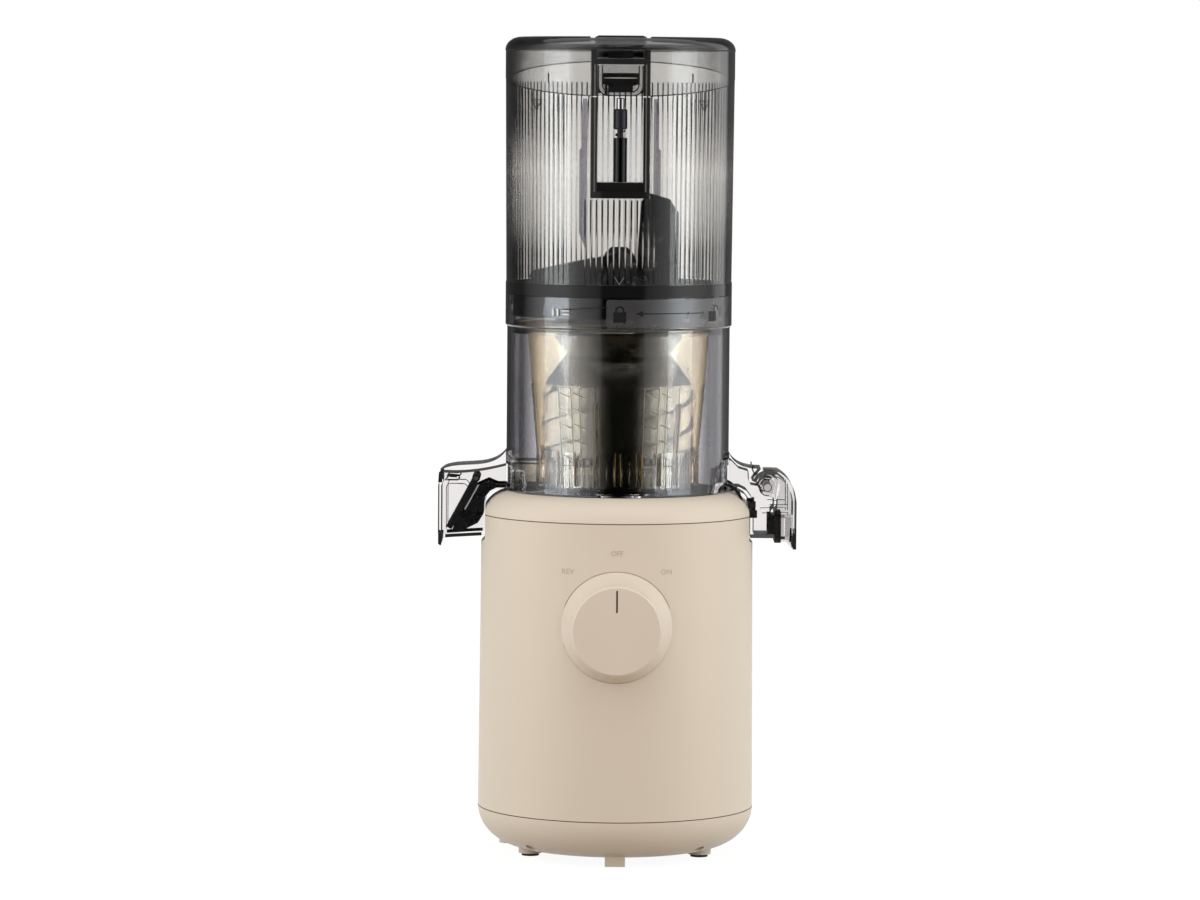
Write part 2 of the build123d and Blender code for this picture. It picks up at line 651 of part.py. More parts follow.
# ---------------------------------------------------------------- motor and gearbox frame
def motor_case():
    can = disc(MOTOR_R, MOTOR_LOW_Z, PLATE_Z, MOTOR_X)
    can = fillet(can.edges().group_by(Axis.Z)[0], 3.0)
    half = MOTOR_GROOVE / 2
    low, high = MOTOR_LOW_Z + MOTOR_H / 6, PLATE_Z - MOTOR_H / 5
    groove = block(MOTOR_R - half, MOTOR_R + half, -half, half, low, high)
    for i in range(12):
        can = can - Pos(MOTOR_X, 0, 0) * Rot(0, 0, 30 * i) * groove
    for x, y in motor_screw_places():
        can = can - disc(SCREW_R + SEAT, PLATE_Z - 8, PLATE_Z + 1, x, y)
    return can - disc(MOTOR_SHAFT_R + RUN, MOTOR_LOW_Z - 1, PLATE_Z + 1, MOTOR_X)


def motor_end_bell():
    bell = disc(MOTOR_R - MOTOR_RIM, MOTOR_LOW_Z - BELL_H, MOTOR_LOW_Z, MOTOR_X)
    bell = fillet(bell.edges().group_by(Axis.Z)[0], 1.5)
    return bell - disc(MOTOR_SHAFT_R + RUN, MOTOR_LOW_Z - BELL_H - 1, MOTOR_LOW_Z + 1, MOTOR_X)


def motor_screw_places():
    angles = [radians(a) for a in (90, 210, 330)]
    return [(MOTOR_X + MOTOR_SCREW_AT * cos(a), MOTOR_SCREW_AT * sin(a)) for a in angles]


def motor_screws():
    top = PLATE_Z + PLATE_T
    return [disc(SCREW_R, PLATE_Z - 6, top, x, y) + disc(SCREW_HEAD_R, top, top + STAGE_GAP - 0.8, x, y)
            for x, y in motor_screw_places()]


def gear_plate(z0):
    plate = disc(PLATE_R, z0, z0 + PLATE_T)
    notch = SWITCH_W / 2 + 22
    depth = POCKET_Y + CASE_WALL + SWITCH_D + PIN_L + 1
    return plate - block(-notch, notch, -FAR, depth, z0 - 1, z0 + PLATE_T + 1)


def gearbox_plate():
    top = PLATE_Z + PLATE_T
    plate = gear_plate(PLATE_Z)
    for x, y in columns():
        plate = plate + disc(COLUMN_R, top - 0.5, TOP_PLATE_Z, x, y)
        plate = plate - disc(SCREW_R + 0.2, PLATE_Z - 1, TOP_PLATE_Z + 1, x, y)
    for x, y in motor_screw_places():
        plate = plate - disc(SCREW_R + 0.2, PLATE_Z - 1, top + 1, x, y)
    plate = plate - disc(MODULE_1 * PINION_TEETH / 2 + 3, PLATE_Z - 1, top + 1, MOTOR_X)
    return plate - disc(COUNTER_SHAFT_R + BUSH_WALL, PLATE_Z - 1, top + 1, COUNTER_X)


def gearbox_cover():
    plate = gear_plate(TOP_PLATE_Z) + disc(BEARING_R + 3, TOP_PLATE_Z, TOP_PLATE_Z + BEARING_H)
    for x, y in columns():
        plate = plate - disc(SCREW_R + 0.2, TOP_PLATE_Z - 1, TOP_PLATE_Z + PLATE_T + 1, x, y)
    for i in range(6):
        rib = Rot(0, 0, 60 * i + 30) * block(BEARING_R + 2, PLATE_R - 15, -WEB_T / 2, WEB_T / 2,
                                             TOP_PLATE_Z + PLATE_T - 0.5, TOP_PLATE_Z + BEARING_H)
        plate = plate + (rib - disc(COUNTER_SHAFT_R + 5, TOP_PLATE_Z, TOP_PLATE_Z + 20, COUNTER_X))
    plate = plate - disc(BEARING_R, TOP_PLATE_Z - 1, TOP_PLATE_Z + BEARING_H + 1)
    return plate - disc(COUNTER_SHAFT_R + BUSH_WALL, TOP_PLATE_Z - 1, TOP_PLATE_Z + PLATE_T + 1, COUNTER_X)


def gearbox_screws():
    top = TOP_PLATE_Z + PLATE_T
    return [
        disc(SCREW_R, PLATE_Z - SCREW_REACH + 2, top, x, y)
        + disc(SCREW_HEAD_R, top, top + SCREW_HEAD_H, x, y)
        for x, y in columns()
    ]


def output_bearings():
    spots = (TOP_PLATE_Z, DECK_BEARING_Z)
    return [ring(BEARING_R - SEAT, DRIVE_R + RUN, z, z + BEARING_H) for z in spots]


def counter_bearings():
    return [ring(COUNTER_SHAFT_R + BUSH_WALL - SEAT, COUNTER_SHAFT_R + RUN, z, z + PLATE_T, COUNTER_X)
            for z in (PLATE_Z, TOP_PLATE_Z)]


def shaft_seal():
    low = DECK_BEARING_Z + BEARING_H
    lip = ring(BEARING_R - SEAT, DRIVE_R + RUN + 0.04, low + SEAT, RECESS_Z)
    return lip - ring(BEARING_R - 1.5, DRIVE_R + 1.2, RECESS_Z - 2, RECESS_Z + 1)


# ---------------------------------------------------------------- electrics
def board_corners():
    x, y = BOARD_L / 2 - BOARD_EDGE, BOARD_W / 2 - BOARD_EDGE
    return [(sx * x, sy * y) for sx in (-1, 1) for sy in (-1, 1)]


def control_board():
    half_l, half_w = BOARD_L / 2, BOARD_W / 2
    board = block(-half_l, half_l, -half_w, half_w, BOARD_Z, BOARD_Z + BOARD_T)
    for x, y in board_corners():
        board = board - disc(SCREW_R, BOARD_Z - 1, BOARD_Z + BOARD_T + 1, x, y)
    return board


def board_parts():
    top = BOARD_Z + BOARD_T
    x0, x1, y = -BOARD_L * 0.4, -BOARD_L * 0.12, BOARD_W * 0.24
    sink = block(x0, x1, y / 2, y * 1.5, top, top + CAN_H / 4)
    fin = (x1 - x0) / 12
    fins = merged([block(x0 + 2.75 * fin * i, x0 + 2.75 * fin * i + fin, y / 2, y * 1.5, top + 2, top + CAN_H)
                   for i in range(5)])
    cans = [disc(CAN_R, top, top + CAN_H, BOARD_L * 0.21, side * y) for side in (-1, 1)]
    return [*cans, sink + fins, block(x0 + 4, x1 + 4, -y * 1.5, -y / 6, top, top + RELAY_H)]


def lid_sensor():
    top = RECESS_Z - RECESS_WALL
    y0 = -RECESS_R + RECESS_WALL + 2
    return fillet(block(-6, 6, y0, y0 + 9, top - 7, top).edges().filter_by(Axis.Z), 1.2)


# ---------------------------------------------------------------- chamber
def chamber_port(sign, half_w):
    """A port through the chamber wall, at +X or -X."""
    far = sign * (CHAMBER_R + 4)
    near = sign * (STRAINER_R + 3)
    return block(min(far, near), max(far, near), -half_w, half_w, PORT_Z, PORT_Z + PORT_H)


def chamber_bowl():
    inner = CHAMBER_R - CHAMBER_WALL
    foot_z = RECESS_Z + SEAT_RING_T
    bowl = turned([
        (TUBE_BORE_R, FLOOR_Z - FLOOR_T), (FOOT_RING_R - 4, FLOOR_Z - FLOOR_T), (FOOT_RING_R - 4, foot_z),
        (FOOT_RING_R, foot_z), (FOOT_RING_R, CHAMBER_LOW_Z), (CHAMBER_R, CHAMBER_LOW_Z),
        (CHAMBER_R, COLLAR_Z - 1), (COLLAR_R, COLLAR_Z), (COLLAR_R, COLLAR_TOP_Z), (inner, COLLAR_TOP_Z),
        (inner, FLOOR_Z), (TUBE_R, FLOOR_Z), (TUBE_R, TUBE_TOP_Z), (TUBE_BORE_R, TUBE_TOP_Z),
    ])
    bowl = bowl - ring(GROOVE_R, inner - 1, GROOVE_Z, GROOVE_Z + GROOVE_H)
    slot = ring(GROOVE_R, inner - 1, GROOVE_Z + 1, COLLAR_TOP_Z + 1)
    for i in range(LUGS):
        bowl = bowl - (slot & sector(LUG_START + UNLOCK_TURN + 360 / LUGS * i, LUG_SPREAD + 4))
    return bowl - chamber_port(1, PORT_HALF_W) - chamber_port(-1, PORT_HALF_W)


def sector(angle, spread):
    """A wedge of space about Z, centred on angle."""
    a = radians(spread / 2)
    wedge = Polygon((0, 0), (FAR, -FAR * tan(a)), (FAR, FAR * tan(a)), align=None)
    return Rot(0, 0, angle) * Pos(0, 0, GROOVE_Z - 20) * extrude(wedge, FAR)


def chamber_gasket():
    return ring(TUBE_BORE_R - SEAT, DRIVE_R + RUN + 0.04, FLOOR_Z - FLOOR_T + 0.5, TUBE_TOP_Z - 1.5)


def seat_ring():
    return ring(FOOT_RING_R, FOOT_RING_R - SEAT_RING_W, RECESS_Z, RECESS_Z + SEAT_RING_T)


def strainer():
    wall = STRAINER_WALL
    flange_r = CHAMBER_R - CHAMBER_WALL - FREE
    cup = turned([
        (TUBE_R + 0.6, FLOOR_Z), (STRAINER_R, FLOOR_Z), (STRAINER_R, STRAINER_CONE_Z),
        (STRAINER_TOP_R, STRAINER_TOP_Z - STRAINER_FLANGE_T), (flange_r, STRAINER_TOP_Z - STRAINER_FLANGE_T),
        (flange_r, STRAINER_TOP_Z),
        (STRAINER_TOP_R - wall, STRAINER_TOP_Z), (STRAINER_R - wall, STRAINER_CONE_Z),
        (STRAINER_R - wall, FLOOR_Z + STRAINER_FLOOR_T), (TUBE_R + 0.6, FLOOR_Z + STRAINER_FLOOR_T),
    ])
    near, far = -STRAINER_R - 1, -CHAMBER_R + CHAMBER_WALL + 1.6
    snout = block(far, near + 4, -PORT_HALF_W - 2, PORT_HALF_W + 2, FLOOR_Z, PORT_Z + PORT_H + 2)
    cup = cup + (snout - disc(STRAINER_R - wall / 2, 0, FAR * 2))
    cup = cup - block(far - 1, near + 6, -PORT_HALF_W, PORT_HALF_W, PORT_Z, PORT_Z + PORT_H)
    half = SLIT_W / 2
    for i in range(SLITS):
        angle = 360 / SLITS * i
        top = SLIT_Z + (LONG_SLIT_H if i % 4 == 1 else SLIT_H)
        slit = block(STRAINER_R - 5, STRAINER_TOP_R + 2, -half, half, SLIT_Z, top)
        if abs(angle - 180) > 20:
            cup = cup - Rot(0, 0, angle) * slit
    return cup


def auger():
    low = FLOOR_Z + STRAINER_FLOOR_T + FREE
    body = turned([
        (0, low), (SCREW_CORE_R, low), (SCREW_CORE_R, FLIGHT_TOP_Z), (SCREW_CORE_R - 2, FLIGHT_TOP_Z + 3),
        (NECK_R, NECK_Z), (CROWN_R, CROWN_Z), (CROWN_TOP_R, CROWN_TOP_Z), (0, CROWN_TOP_Z),
    ])
    height = FLIGHT_TOP_Z - low - 5
    path = Helix(FLIGHT_LEAD, height, SCREW_CORE_R)
    half = FLIGHT_W / 2
    ridge = Polygon((SCREW_CORE_R - 2, -half - 1), (FLIGHT_R, -half), (FLIGHT_R, half),
                    (SCREW_CORE_R - 2, half + 1), align=None)
    flight = Pos(0, 0, low + 3) * sweep(Plane.XZ * ridge, path, is_frenet=True)
    for i in range(FLIGHTS):
        body = body + Rot(0, 0, 360 / FLIGHTS * i) * flight
    body = body - disc(TUBE_R + 0.8, low - 1, TUBE_TOP_Z + 1)
    socket = extrude(RegularPolygon(HEX_ACROSS / 2 + 0.1, 6, major_radius=False), HEX_H + 3)
    return body - Pos(0, 0, HEX_Z - 1) * socket


def auger_wing():
    low = CROWN_TOP_Z + SEAT
    hub = turned([
        (0, low), (CROWN_TOP_R - 1, low), (HUB_LOW_R, low + HUB_H / 6),
        (HUB_TOP_R + 4, HUB_TOP_Z - HUB_H / 3), (HUB_TOP_R, HUB_TOP_Z - 3),
        (HUB_TOP_R - 3, HUB_TOP_Z), (0, HUB_TOP_Z)])
    blade = make_face(Polyline(
        (BLADE_IN - 8, low + 4), (BLADE_OUT - 4, low + 6), (BLADE_OUT, low + 16),
        (BLADE_OUT, BLADE_TOP_Z - 11), (BLADE_OUT - 5, BLADE_TOP_Z - 3.5),
        (BLADE_IN + 4, BLADE_TOP_Z), (BLADE_IN, BLADE_TOP_Z - 5),
        (BLADE_IN - 2, HUB_TOP_Z - 6), close=True))
    upright = side_plate(blade, BLADE_T / 2)
    ramp_face = make_face(Polyline(
        (0, low + 8), (-RAMP_OUT + 4, RAMP_OUT_Z - 8), (-RAMP_OUT, RAMP_OUT_Z - 3),
        (-RAMP_OUT + 1, RAMP_OUT_Z), (-RAMP_OUT * 0.43, RAMP_IN_Z), (0, RAMP_IN_Z + 4), close=True))
    ramp = side_plate(ramp_face, RAMP_HALF_W)
    return hub + upright + ramp


# ---------------------------------------------------------------- juice spout and cap
def about_pin(radius, angle):
    """A point round the juice cap's pin, by distance and angle from +X."""
    return (CAP_PIN_X + radius * cos(radians(angle)), CAP_PIN_Z + radius * sin(radians(angle)))


def beside(sign, dx, dz):
    """A point of a spout's section, out from the chamber's wall and up from the deck."""
    return (sign * (CHAMBER_R + dx), DECK_Z + dz)


def shoulder_side(sign):
    """The line that a spout keeps outside the shoulder, from the chamber wall down to the flat."""
    low = CHAMBER_LOW_Z - DECK_Z + SPOUT_GAP
    flat = BESIDE_X - CHAMBER_R
    return [beside(sign, dx, dz) for dx, dz in (
        (SEAT, low), (flat - 6.9, low), (flat - 3.6, -0.8), (flat - 1.0, -4.0), (flat, -9.0))]


def juice_spout():
    start, end = CAP_OPENS + 80.0, CAP_OPENS + 108.0
    roof_end = (CAP_PIN_X - 3.6, DECK_Z + 13.2)
    edge = Spline(beside(1, SEAT, 21.5), beside(1, 6.1, 15.2), beside(1, 13.3, 13.4), roof_end)
    edge += Line(roof_end, about_pin(SWING_OUT, start))
    edge += ThreePointArc(about_pin(SWING_OUT, start), about_pin(SWING_OUT, (start + end) / 2),
                          about_pin(SWING_OUT, end))
    edge += Line(about_pin(SWING_OUT, end), about_pin(SWING_IN, end))
    edge += ThreePointArc(about_pin(SWING_IN, end), about_pin(SWING_IN, 90), about_pin(SWING_IN, 0))
    step = SPOUT_END_X + 1.7
    edge += Polyline(about_pin(SWING_IN, 0), (step, DECK_Z - 2.5), (step, DECK_Z - 8.5),
                     (SPOUT_END_X, DECK_Z - 10.5), (SPOUT_END_X, SPOUT_LOW_Z), (BESIDE_X, SPOUT_LOW_Z),
                     *shoulder_side(1)[::-1],
                     beside(1, SEAT, 21.5))
    body = side_plate(make_face(edge), SPOUT_HALF_W)
    low, back = SPOUT_LOW_Z + SPOUT_WALL, SPOUT_END_X - SPOUT_WALL
    dome = SWING_IN - SPOUT_WALL + 0.1
    inlet = WALL_X - 2.4
    side = BESIDE_X + SPOUT_WALL
    duct = Polyline((inlet, DECK_Z + 18.0), beside(1, 1.2, 17.3), beside(1, 5.3, 13.2), beside(1, 10.7, 11.6),
                    beside(1, 11.1, 6.0), beside(1, 11.9, 4.2), about_pin(dome, 175))
    duct += ThreePointArc(about_pin(dome, 175), about_pin(dome, 90), about_pin(dome, 0))
    duct += Polyline(about_pin(dome, 0), (step - SPOUT_WALL, DECK_Z - 2.1), (step - SPOUT_WALL, DECK_Z - 8.0),
                     (back, DECK_Z - 9.8), (back, low), (side, low), (side, DECK_Z - 8.8),
                     (side - 1.1, DECK_Z - 3.2), (side - 4.1, DECK_Z + 0.9), (side - 8.1, DECK_Z + 2.9),
                     (inlet, DECK_Z + 2.9), (inlet, DECK_Z + 18.0))
    half = SPOUT_HALF_W - SPOUT_WALL
    inside = side_plate(make_face(duct), half)
    port = block(WALL_X - 3, WALL_X + 3, -PORT_HALF_W, PORT_HALF_W, PORT_Z, PORT_Z + PORT_H)
    mouth = block(back - 2, SPOUT_END_X + 4, -half, half, low, MOUTH_TOP_Z)
    body = body - inside - port - mouth - disc(WALL_X, 0, FAR * 2)
    return body - bar_along_y(CAP_PIN_R + SEAT, CAP_PIN_X, -FAR, FAR, CAP_PIN_Z)


def juice_cap():
    cheek_in = SPOUT_HALF_W + FREE + 0.1
    cheek_out = cheek_in + CAP_WALL
    x1, z0 = CAP_END_X, CAP_LOW_Z
    x2 = x1 - 0.8
    roof_z = CAP_PIN_Z + SWING_OUT - 0.3
    under_z = CAP_PIN_Z + SWING_IN + 0.4
    bend = CAP_PIN_X + 6.0
    tail, tail_under = about_pin(SWING_OUT - 0.3, 102), about_pin(SWING_IN + 0.4, 102)
    roof = ThreePointArc(tail, about_pin(SWING_OUT - 0.3, 96), (CAP_PIN_X, roof_z))
    roof += Line((CAP_PIN_X, roof_z), (bend, roof_z - 0.2))
    roof += ThreePointArc((bend, roof_z - 0.2), (x1 - 4.9, DECK_Z + 7.6), (x2, DECK_Z - 0.5))
    roof += Polyline((x2, DECK_Z - 0.5), (x1, DECK_Z - 5.0), (x1, z0))
    sill = z0 + 4.5
    lead = SPOUT_END_X + 2.0
    outer = roof + Polyline((x1, z0), (x1 - CAP_WALL, z0), (x1 - 6, sill), (lead, sill), (lead, DECK_Z - 6.8),
                            (lead - 1.7, DECK_Z - 2.8), (CAP_PIN_X, CAP_PIN_Z - CAP_BOSS_R))
    outer += ThreePointArc((CAP_PIN_X, CAP_PIN_Z - CAP_BOSS_R), (CAP_PIN_X - CAP_BOSS_R, CAP_PIN_Z),
                           about_pin(CAP_BOSS_R, 120))
    outer += Line(about_pin(CAP_BOSS_R, 120), tail)
    cheek = make_face(outer)
    body = side_plate(cheek, cheek_out) - side_plate(cheek, cheek_in)
    inner = x1 - CAP_WALL
    wall = side_plate(make_face(roof + Polyline(
        (x1, z0), (inner, z0), (inner, DECK_Z - 5.0), (x2 - CAP_WALL, DECK_Z - 1.0), (x1 - 6.3, DECK_Z + 6.4),
        (bend - 0.6, under_z - 0.2), (CAP_PIN_X, under_z), tail_under, tail)), cheek_out)
    back = seal_back()
    half = SPOUT_HALF_W - 4
    holder = block(back, x1 - 1, -half, half, SPOUT_LOW_Z - 1, MOUTH_TOP_Z - 1.5)
    room = block(back + 2.3, inner, -half + 1.6, half - 1.6, 0, DECK_Z)
    return body + wall + (holder - room) - bar_along_y(CAP_PIN_R + 0.1, CAP_PIN_X, -FAR, FAR, CAP_PIN_Z)


def seal_back():
    return SPOUT_END_X + FREE + SEAL_T


def juice_cap_seal():
    half = SPOUT_HALF_W - 1
    plate = block(SPOUT_END_X + FREE, seal_back() - SEAT, -half, half, SPOUT_LOW_Z - 3, MOUTH_TOP_Z + 1.5)
    return fillet(plate.edges().filter_by(Axis.X), 4.0)


def juice_mouth_ring():
    half, z0, z1 = SPOUT_HALF_W - SPOUT_WALL - SEAT, SPOUT_LOW_Z + SPOUT_WALL + SEAT, MOUTH_TOP_Z - SEAT
    x0, wall = SPOUT_END_X - 3.4, 1.6
    frame = block(x0, SPOUT_END_X, -half, half, z0, z1)
    return frame - block(x0 - 1, SPOUT_END_X + 1, -half + wall, half - wall, z0 + wall, z1 - wall)


def juice_cap_pins():
    inner, outer = SPOUT_HALF_W - SPOUT_WALL, SPOUT_HALF_W + FREE + 0.1 + CAP_WALL
    return [bar_along_y(CAP_PIN_R, CAP_PIN_X, s * inner, s * outer, CAP_PIN_Z) for s in (-1, 1)]


# ---------------------------------------------------------------- pulp spout, chute and flap
def flap_point(along, across):
    """A point on the pulp flap's section: along from its top edge to its tip, across from its outer face."""
    dx, dz = FLAP_TIP[0] - FLAP_TOP[0], FLAP_TIP[1] - FLAP_TOP[1]
    length = hypot(dx, dz)
    ux, uz = dx / length, dz / length
    return (FLAP_TOP[0] + ux * along * length - uz * across, FLAP_TOP[1] + uz * along * length + ux * across)


def pulp_spout():
    x1 = -HOOD_END_X
    tip = x1 + 3.2
    start = beside(-1, SEAT, 22.0)
    edge = Spline(start, beside(-1, 6.0, 16.9), beside(-1, 18.7, 14.4), (tip, HOOD_ROOF_Z))
    edge += Polyline((tip, HOOD_ROOF_Z), (x1 + 1.1, HOOD_ROOF_Z - 1.6), (x1 + 0.9, DECK_Z + 4.6),
                     (x1, DECK_Z + 3.0), (x1, HOOD_LOW_Z + 3.0), (x1 + 0.8, HOOD_LIP_Z),
                     (x1 + 2.2, HOOD_LIP_Z), (x1 + 2.8, HOOD_LOW_Z),
                     (-BESIDE_X, HOOD_LOW_Z + 1.8), *shoulder_side(-1)[::-1], start)
    body = side_plate(make_face(edge), SPOUT_HALF_W)
    root, inner_x, under = beside(-1, -4, 0)[0], x1 + HOOD_WALL, HOOD_ROOF_Z - 2.4
    hollow = Spline((root, DECK_Z + 15.0), beside(-1, 6.7, 12.2), beside(-1, 18.7, 10.2),
                    (inner_x + 1.0, under))
    hollow += Polyline((inner_x + 1.0, under), (inner_x + 1.0, DECK_Z + 4.2), (inner_x, DECK_Z + 2.6),
                       (inner_x, 0), (-FLAT_X, 0), (-FLAT_X, DECK_Z - 5.0), beside(-1, 7.7, -2.0),
                       beside(-1, 4.7, 0), (root, DECK_Z), (root, DECK_Z + 15.0))
    inner = SPOUT_HALF_W - HOOD_WALL
    body = body - side_plate(make_face(hollow), inner) - disc(WALL_X, 0, FAR * 2)
    return body - bar_along_y(FLAP_PIN_R + SEAT, FLAP_PIN[0], -inner - 0.9, inner + 0.9, FLAP_PIN[1])


def pulp_chute():
    seat = FLAP_T + FREE
    floor = CHAMBER_LOW_Z - DECK_Z + 1.2
    flat = BESIDE_X - CHAMBER_R
    outline = Polygon(
        flap_point(0.16, seat), flap_point(0.97, seat), beside(-1, 29.7, -23.1), beside(-1, 23.8, -22.1),
        beside(-1, flat + 3.4, -17.9), beside(-1, flat + 0.4, -13.0), beside(-1, flat + 0.3, -8.0),
        beside(-1, flat - 0.6, -3.4), beside(-1, flat - 3.3, -0.1), beside(-1, flat - 6.7, floor),
        beside(-1, SEAT, floor), beside(-1, SEAT, floor + 1.8), beside(-1, flat - 7.2, floor + 1.8),
        beside(-1, flat - 2.2, 5.5), align=None)
    body = side_plate(outline, CHUTE_HALF_W)
    bore = Polygon(
        flap_point(0.2, seat - 3), flap_point(0.9, seat - 3), flap_point(0.9, seat + 1),
        beside(-1, 23.7, -19.8), beside(-1, flat + 4.8, -16.5),
        beside(-1, flat + 2.4, -12.5), beside(-1, flat + 2.2, -7.0),
        beside(-1, flat + 0.8, -2.0), beside(-1, flat - 2.7, 2.0), beside(-1, flat - 7.2, 2.4),
        beside(-1, -1.3, 2.4), beside(-1, -1.3, 11.0), beside(-1, flat - 0.2, 11.0), align=None)
    return body - side_plate(bore, CHUTE_HALF_W - CHUTE_WALL)


def pulp_flap():
    plate = make_face(Polyline(flap_point(0.02, 0), flap_point(1, 0), flap_point(1, FLAP_T),
                               flap_point(0.05, FLAP_T), close=True))
    half = CHUTE_HALF_W
    body = side_plate(plate, half) + bar_along_y(FLAP_PIN_R + 1.0, FLAP_PIN[0], -half, half, FLAP_PIN[1])
    return body - bar_along_y(FLAP_PIN_R + RUN, FLAP_PIN[0], -FAR, FAR, FLAP_PIN[1])


def pulp_flap_pin():
    reach = SPOUT_HALF_W - HOOD_WALL + 0.8
    return bar_along_y(FLAP_PIN_R, FLAP_PIN[0], -reach, reach, FLAP_PIN[1])


# ---------------------------------------------------------------- hopper
def split_height(y):
    """Height of the slanted joint between the hopper and the lid skirt."""
    return SPLIT_FRONT_Z + SPLIT_RISE * (y + HOPPER_TOP_R) / (2 * HOPPER_TOP_R)


def side_of_split(gap, z_far):
    points = [(-FAR, split_height(-FAR) + gap), (FAR, split_height(FAR) + gap), (FAR, z_far), (-FAR, z_far)]
    return end_plate(points, -FAR, FAR)


def hopper_wall():
    top = LID_Z - 0.5
    wall = turned([
        (HOPPER_LOW_R, HOPPER_LOW_Z), (HOPPER_TOP_R, top), (HOPPER_TOP_R - HOPPER_WALL, top),
        (HOPPER_LOW_R - HOPPER_WALL, HOPPER_LOW_Z)])
    wall = wall - side_of_split(-SEAT - 0.1, FAR * 3)
    gap = CHANNEL_HALF_W + SEAT
    wall = wall - block(-gap, gap, -FAR, -HOPPER_TOP_R / 2, CHANNEL_LOW_Z - SEAT, FAR * 3)
    root = HOPPER_TOP_R - 1.6
    ear = end_plate([(root, HINGE_Z - 22), (root, HINGE_Z - 9), (HINGE_Y - 2.3, HINGE_Z - EAR_R),
                     (HINGE_Y + 0.8 * EAR_R, HINGE_Z + 1.5), (HINGE_Y + 0.9 * EAR_R, HINGE_Z - 5),
                     (HINGE_Y - 1.5, HINGE_Z - 18)], 0, EAR_T)
    ear = ear + bar_along_x(EAR_R, 0, EAR_T, HINGE_Y, HINGE_Z)
    ear = ear - bar_along_x(HINGE_PIN_R + SEAT, -1, EAR_T + 1, HINGE_Y, HINGE_Z)
    return wall + Pos(EAR_IN, 0, 0) * ear + Pos(-EAR_OUT, 0, 0) * ear


def hopper_ring():
    body = turned([
        (SPIGOT_IN_R, SPIGOT_LOW_Z), (SPIGOT_R, SPIGOT_LOW_Z), (SPIGOT_R, COLLAR_TOP_Z + FREE),
        (COLLAR_R, COLLAR_TOP_Z + FREE), (COLLAR_R, HOPPER_LOW_Z - SEAT),
        (HOPPER_LOW_R - HOPPER_WALL - 1, HOPPER_LOW_Z - SEAT), (SPIGOT_IN_R, COLLAR_TOP_Z + 3)])
    z0 = GROOVE_Z + (GROOVE_H - LUG_H) / 2
    lug = ring(LUG_R, SPIGOT_R - 0.5, z0, z0 + LUG_H)
    for i in range(LUGS):
        body = body + (lug & sector(LUG_START + 360 / LUGS * i, LUG_SPREAD))
    return body


def latch_channel():
    half, inner = CHANNEL_HALF_W, CHANNEL_IN_HALF_W
    top = SPLIT_FRONT_Z - 0.2
    trough = block(-half, half, -FAR, CHANNEL_BACK_Y, CHANNEL_LOW_Z, top)
    trough = trough & disc(HOPPER_TOP_R - 0.1, 0, FAR * 3)
    back = CHANNEL_BACK_Y - CHANNEL_BACK_T
    trough = trough - block(-inner, inner, -FAR, back, CHANNEL_LOW_Z + CHANNEL_BAR, top + 1)
    floor = CHANNEL_LOW_Z + CHANNEL_BAR
    ledge = block(-inner - 0.5, inner + 0.5, ROD_Y - 3.2, back + 0.5, floor - 0.5, LEDGE_TOP_Z)
    bore = disc(ROD_R + 0.2, floor, LEDGE_TOP_Z + 1, 0, ROD_Y)
    return trough + ledge - bore


def rod_sleeve():
    z0, z1 = LEDGE_TOP_Z + SEAT, SLEEVE_TOP_Z
    back = CHANNEL_BACK_Y - CHANNEL_BACK_T - SEAT
    tube = disc(SLEEVE_R, z0, z1, 0, ROD_Y) + block(-WEB_T / 2, WEB_T / 2, ROD_Y + 1, back, z0, z1)
    return tube - disc(SLEEVE_IN_R, z0 - 1, z1 + 1, 0, ROD_Y)


def interlock_rod():
    foot = LEDGE_TOP_Z - 0.2
    head = disc(SLEEVE_R, HEAD_LOW_Z, HEAD_TOP_Z, 0, ROD_Y)
    head = chamfer(head.edges(), 0.6)
    return disc(ROD_R, foot, HEAD_LOW_Z + 1, 0, ROD_Y) + head


def rod_tip():
    return chamfer(disc(TIP_R, HEAD_TOP_Z, TIP_TOP_Z, 0, ROD_Y).edges().group_by(Axis.Z)[-1], 0.5)


def interlock_spring():
    z0, z1 = LEDGE_TOP_Z + 0.3, HEAD_LOW_Z - 0.3
    mean = (ROD_R + SLEEVE_IN_R) / 2
    half = SPRING_WIRE / 2
    height = z1 - z0 - SPRING_WIRE
    path = Helix(height / SPRING_TURNS, height, mean)
    wire = Pos(mean, 0) * Rectangle(SPRING_WIRE, SPRING_WIRE)
    return Pos(0, ROD_Y, z0 + half) * sweep(Plane.XZ * wire, path, is_frenet=True)


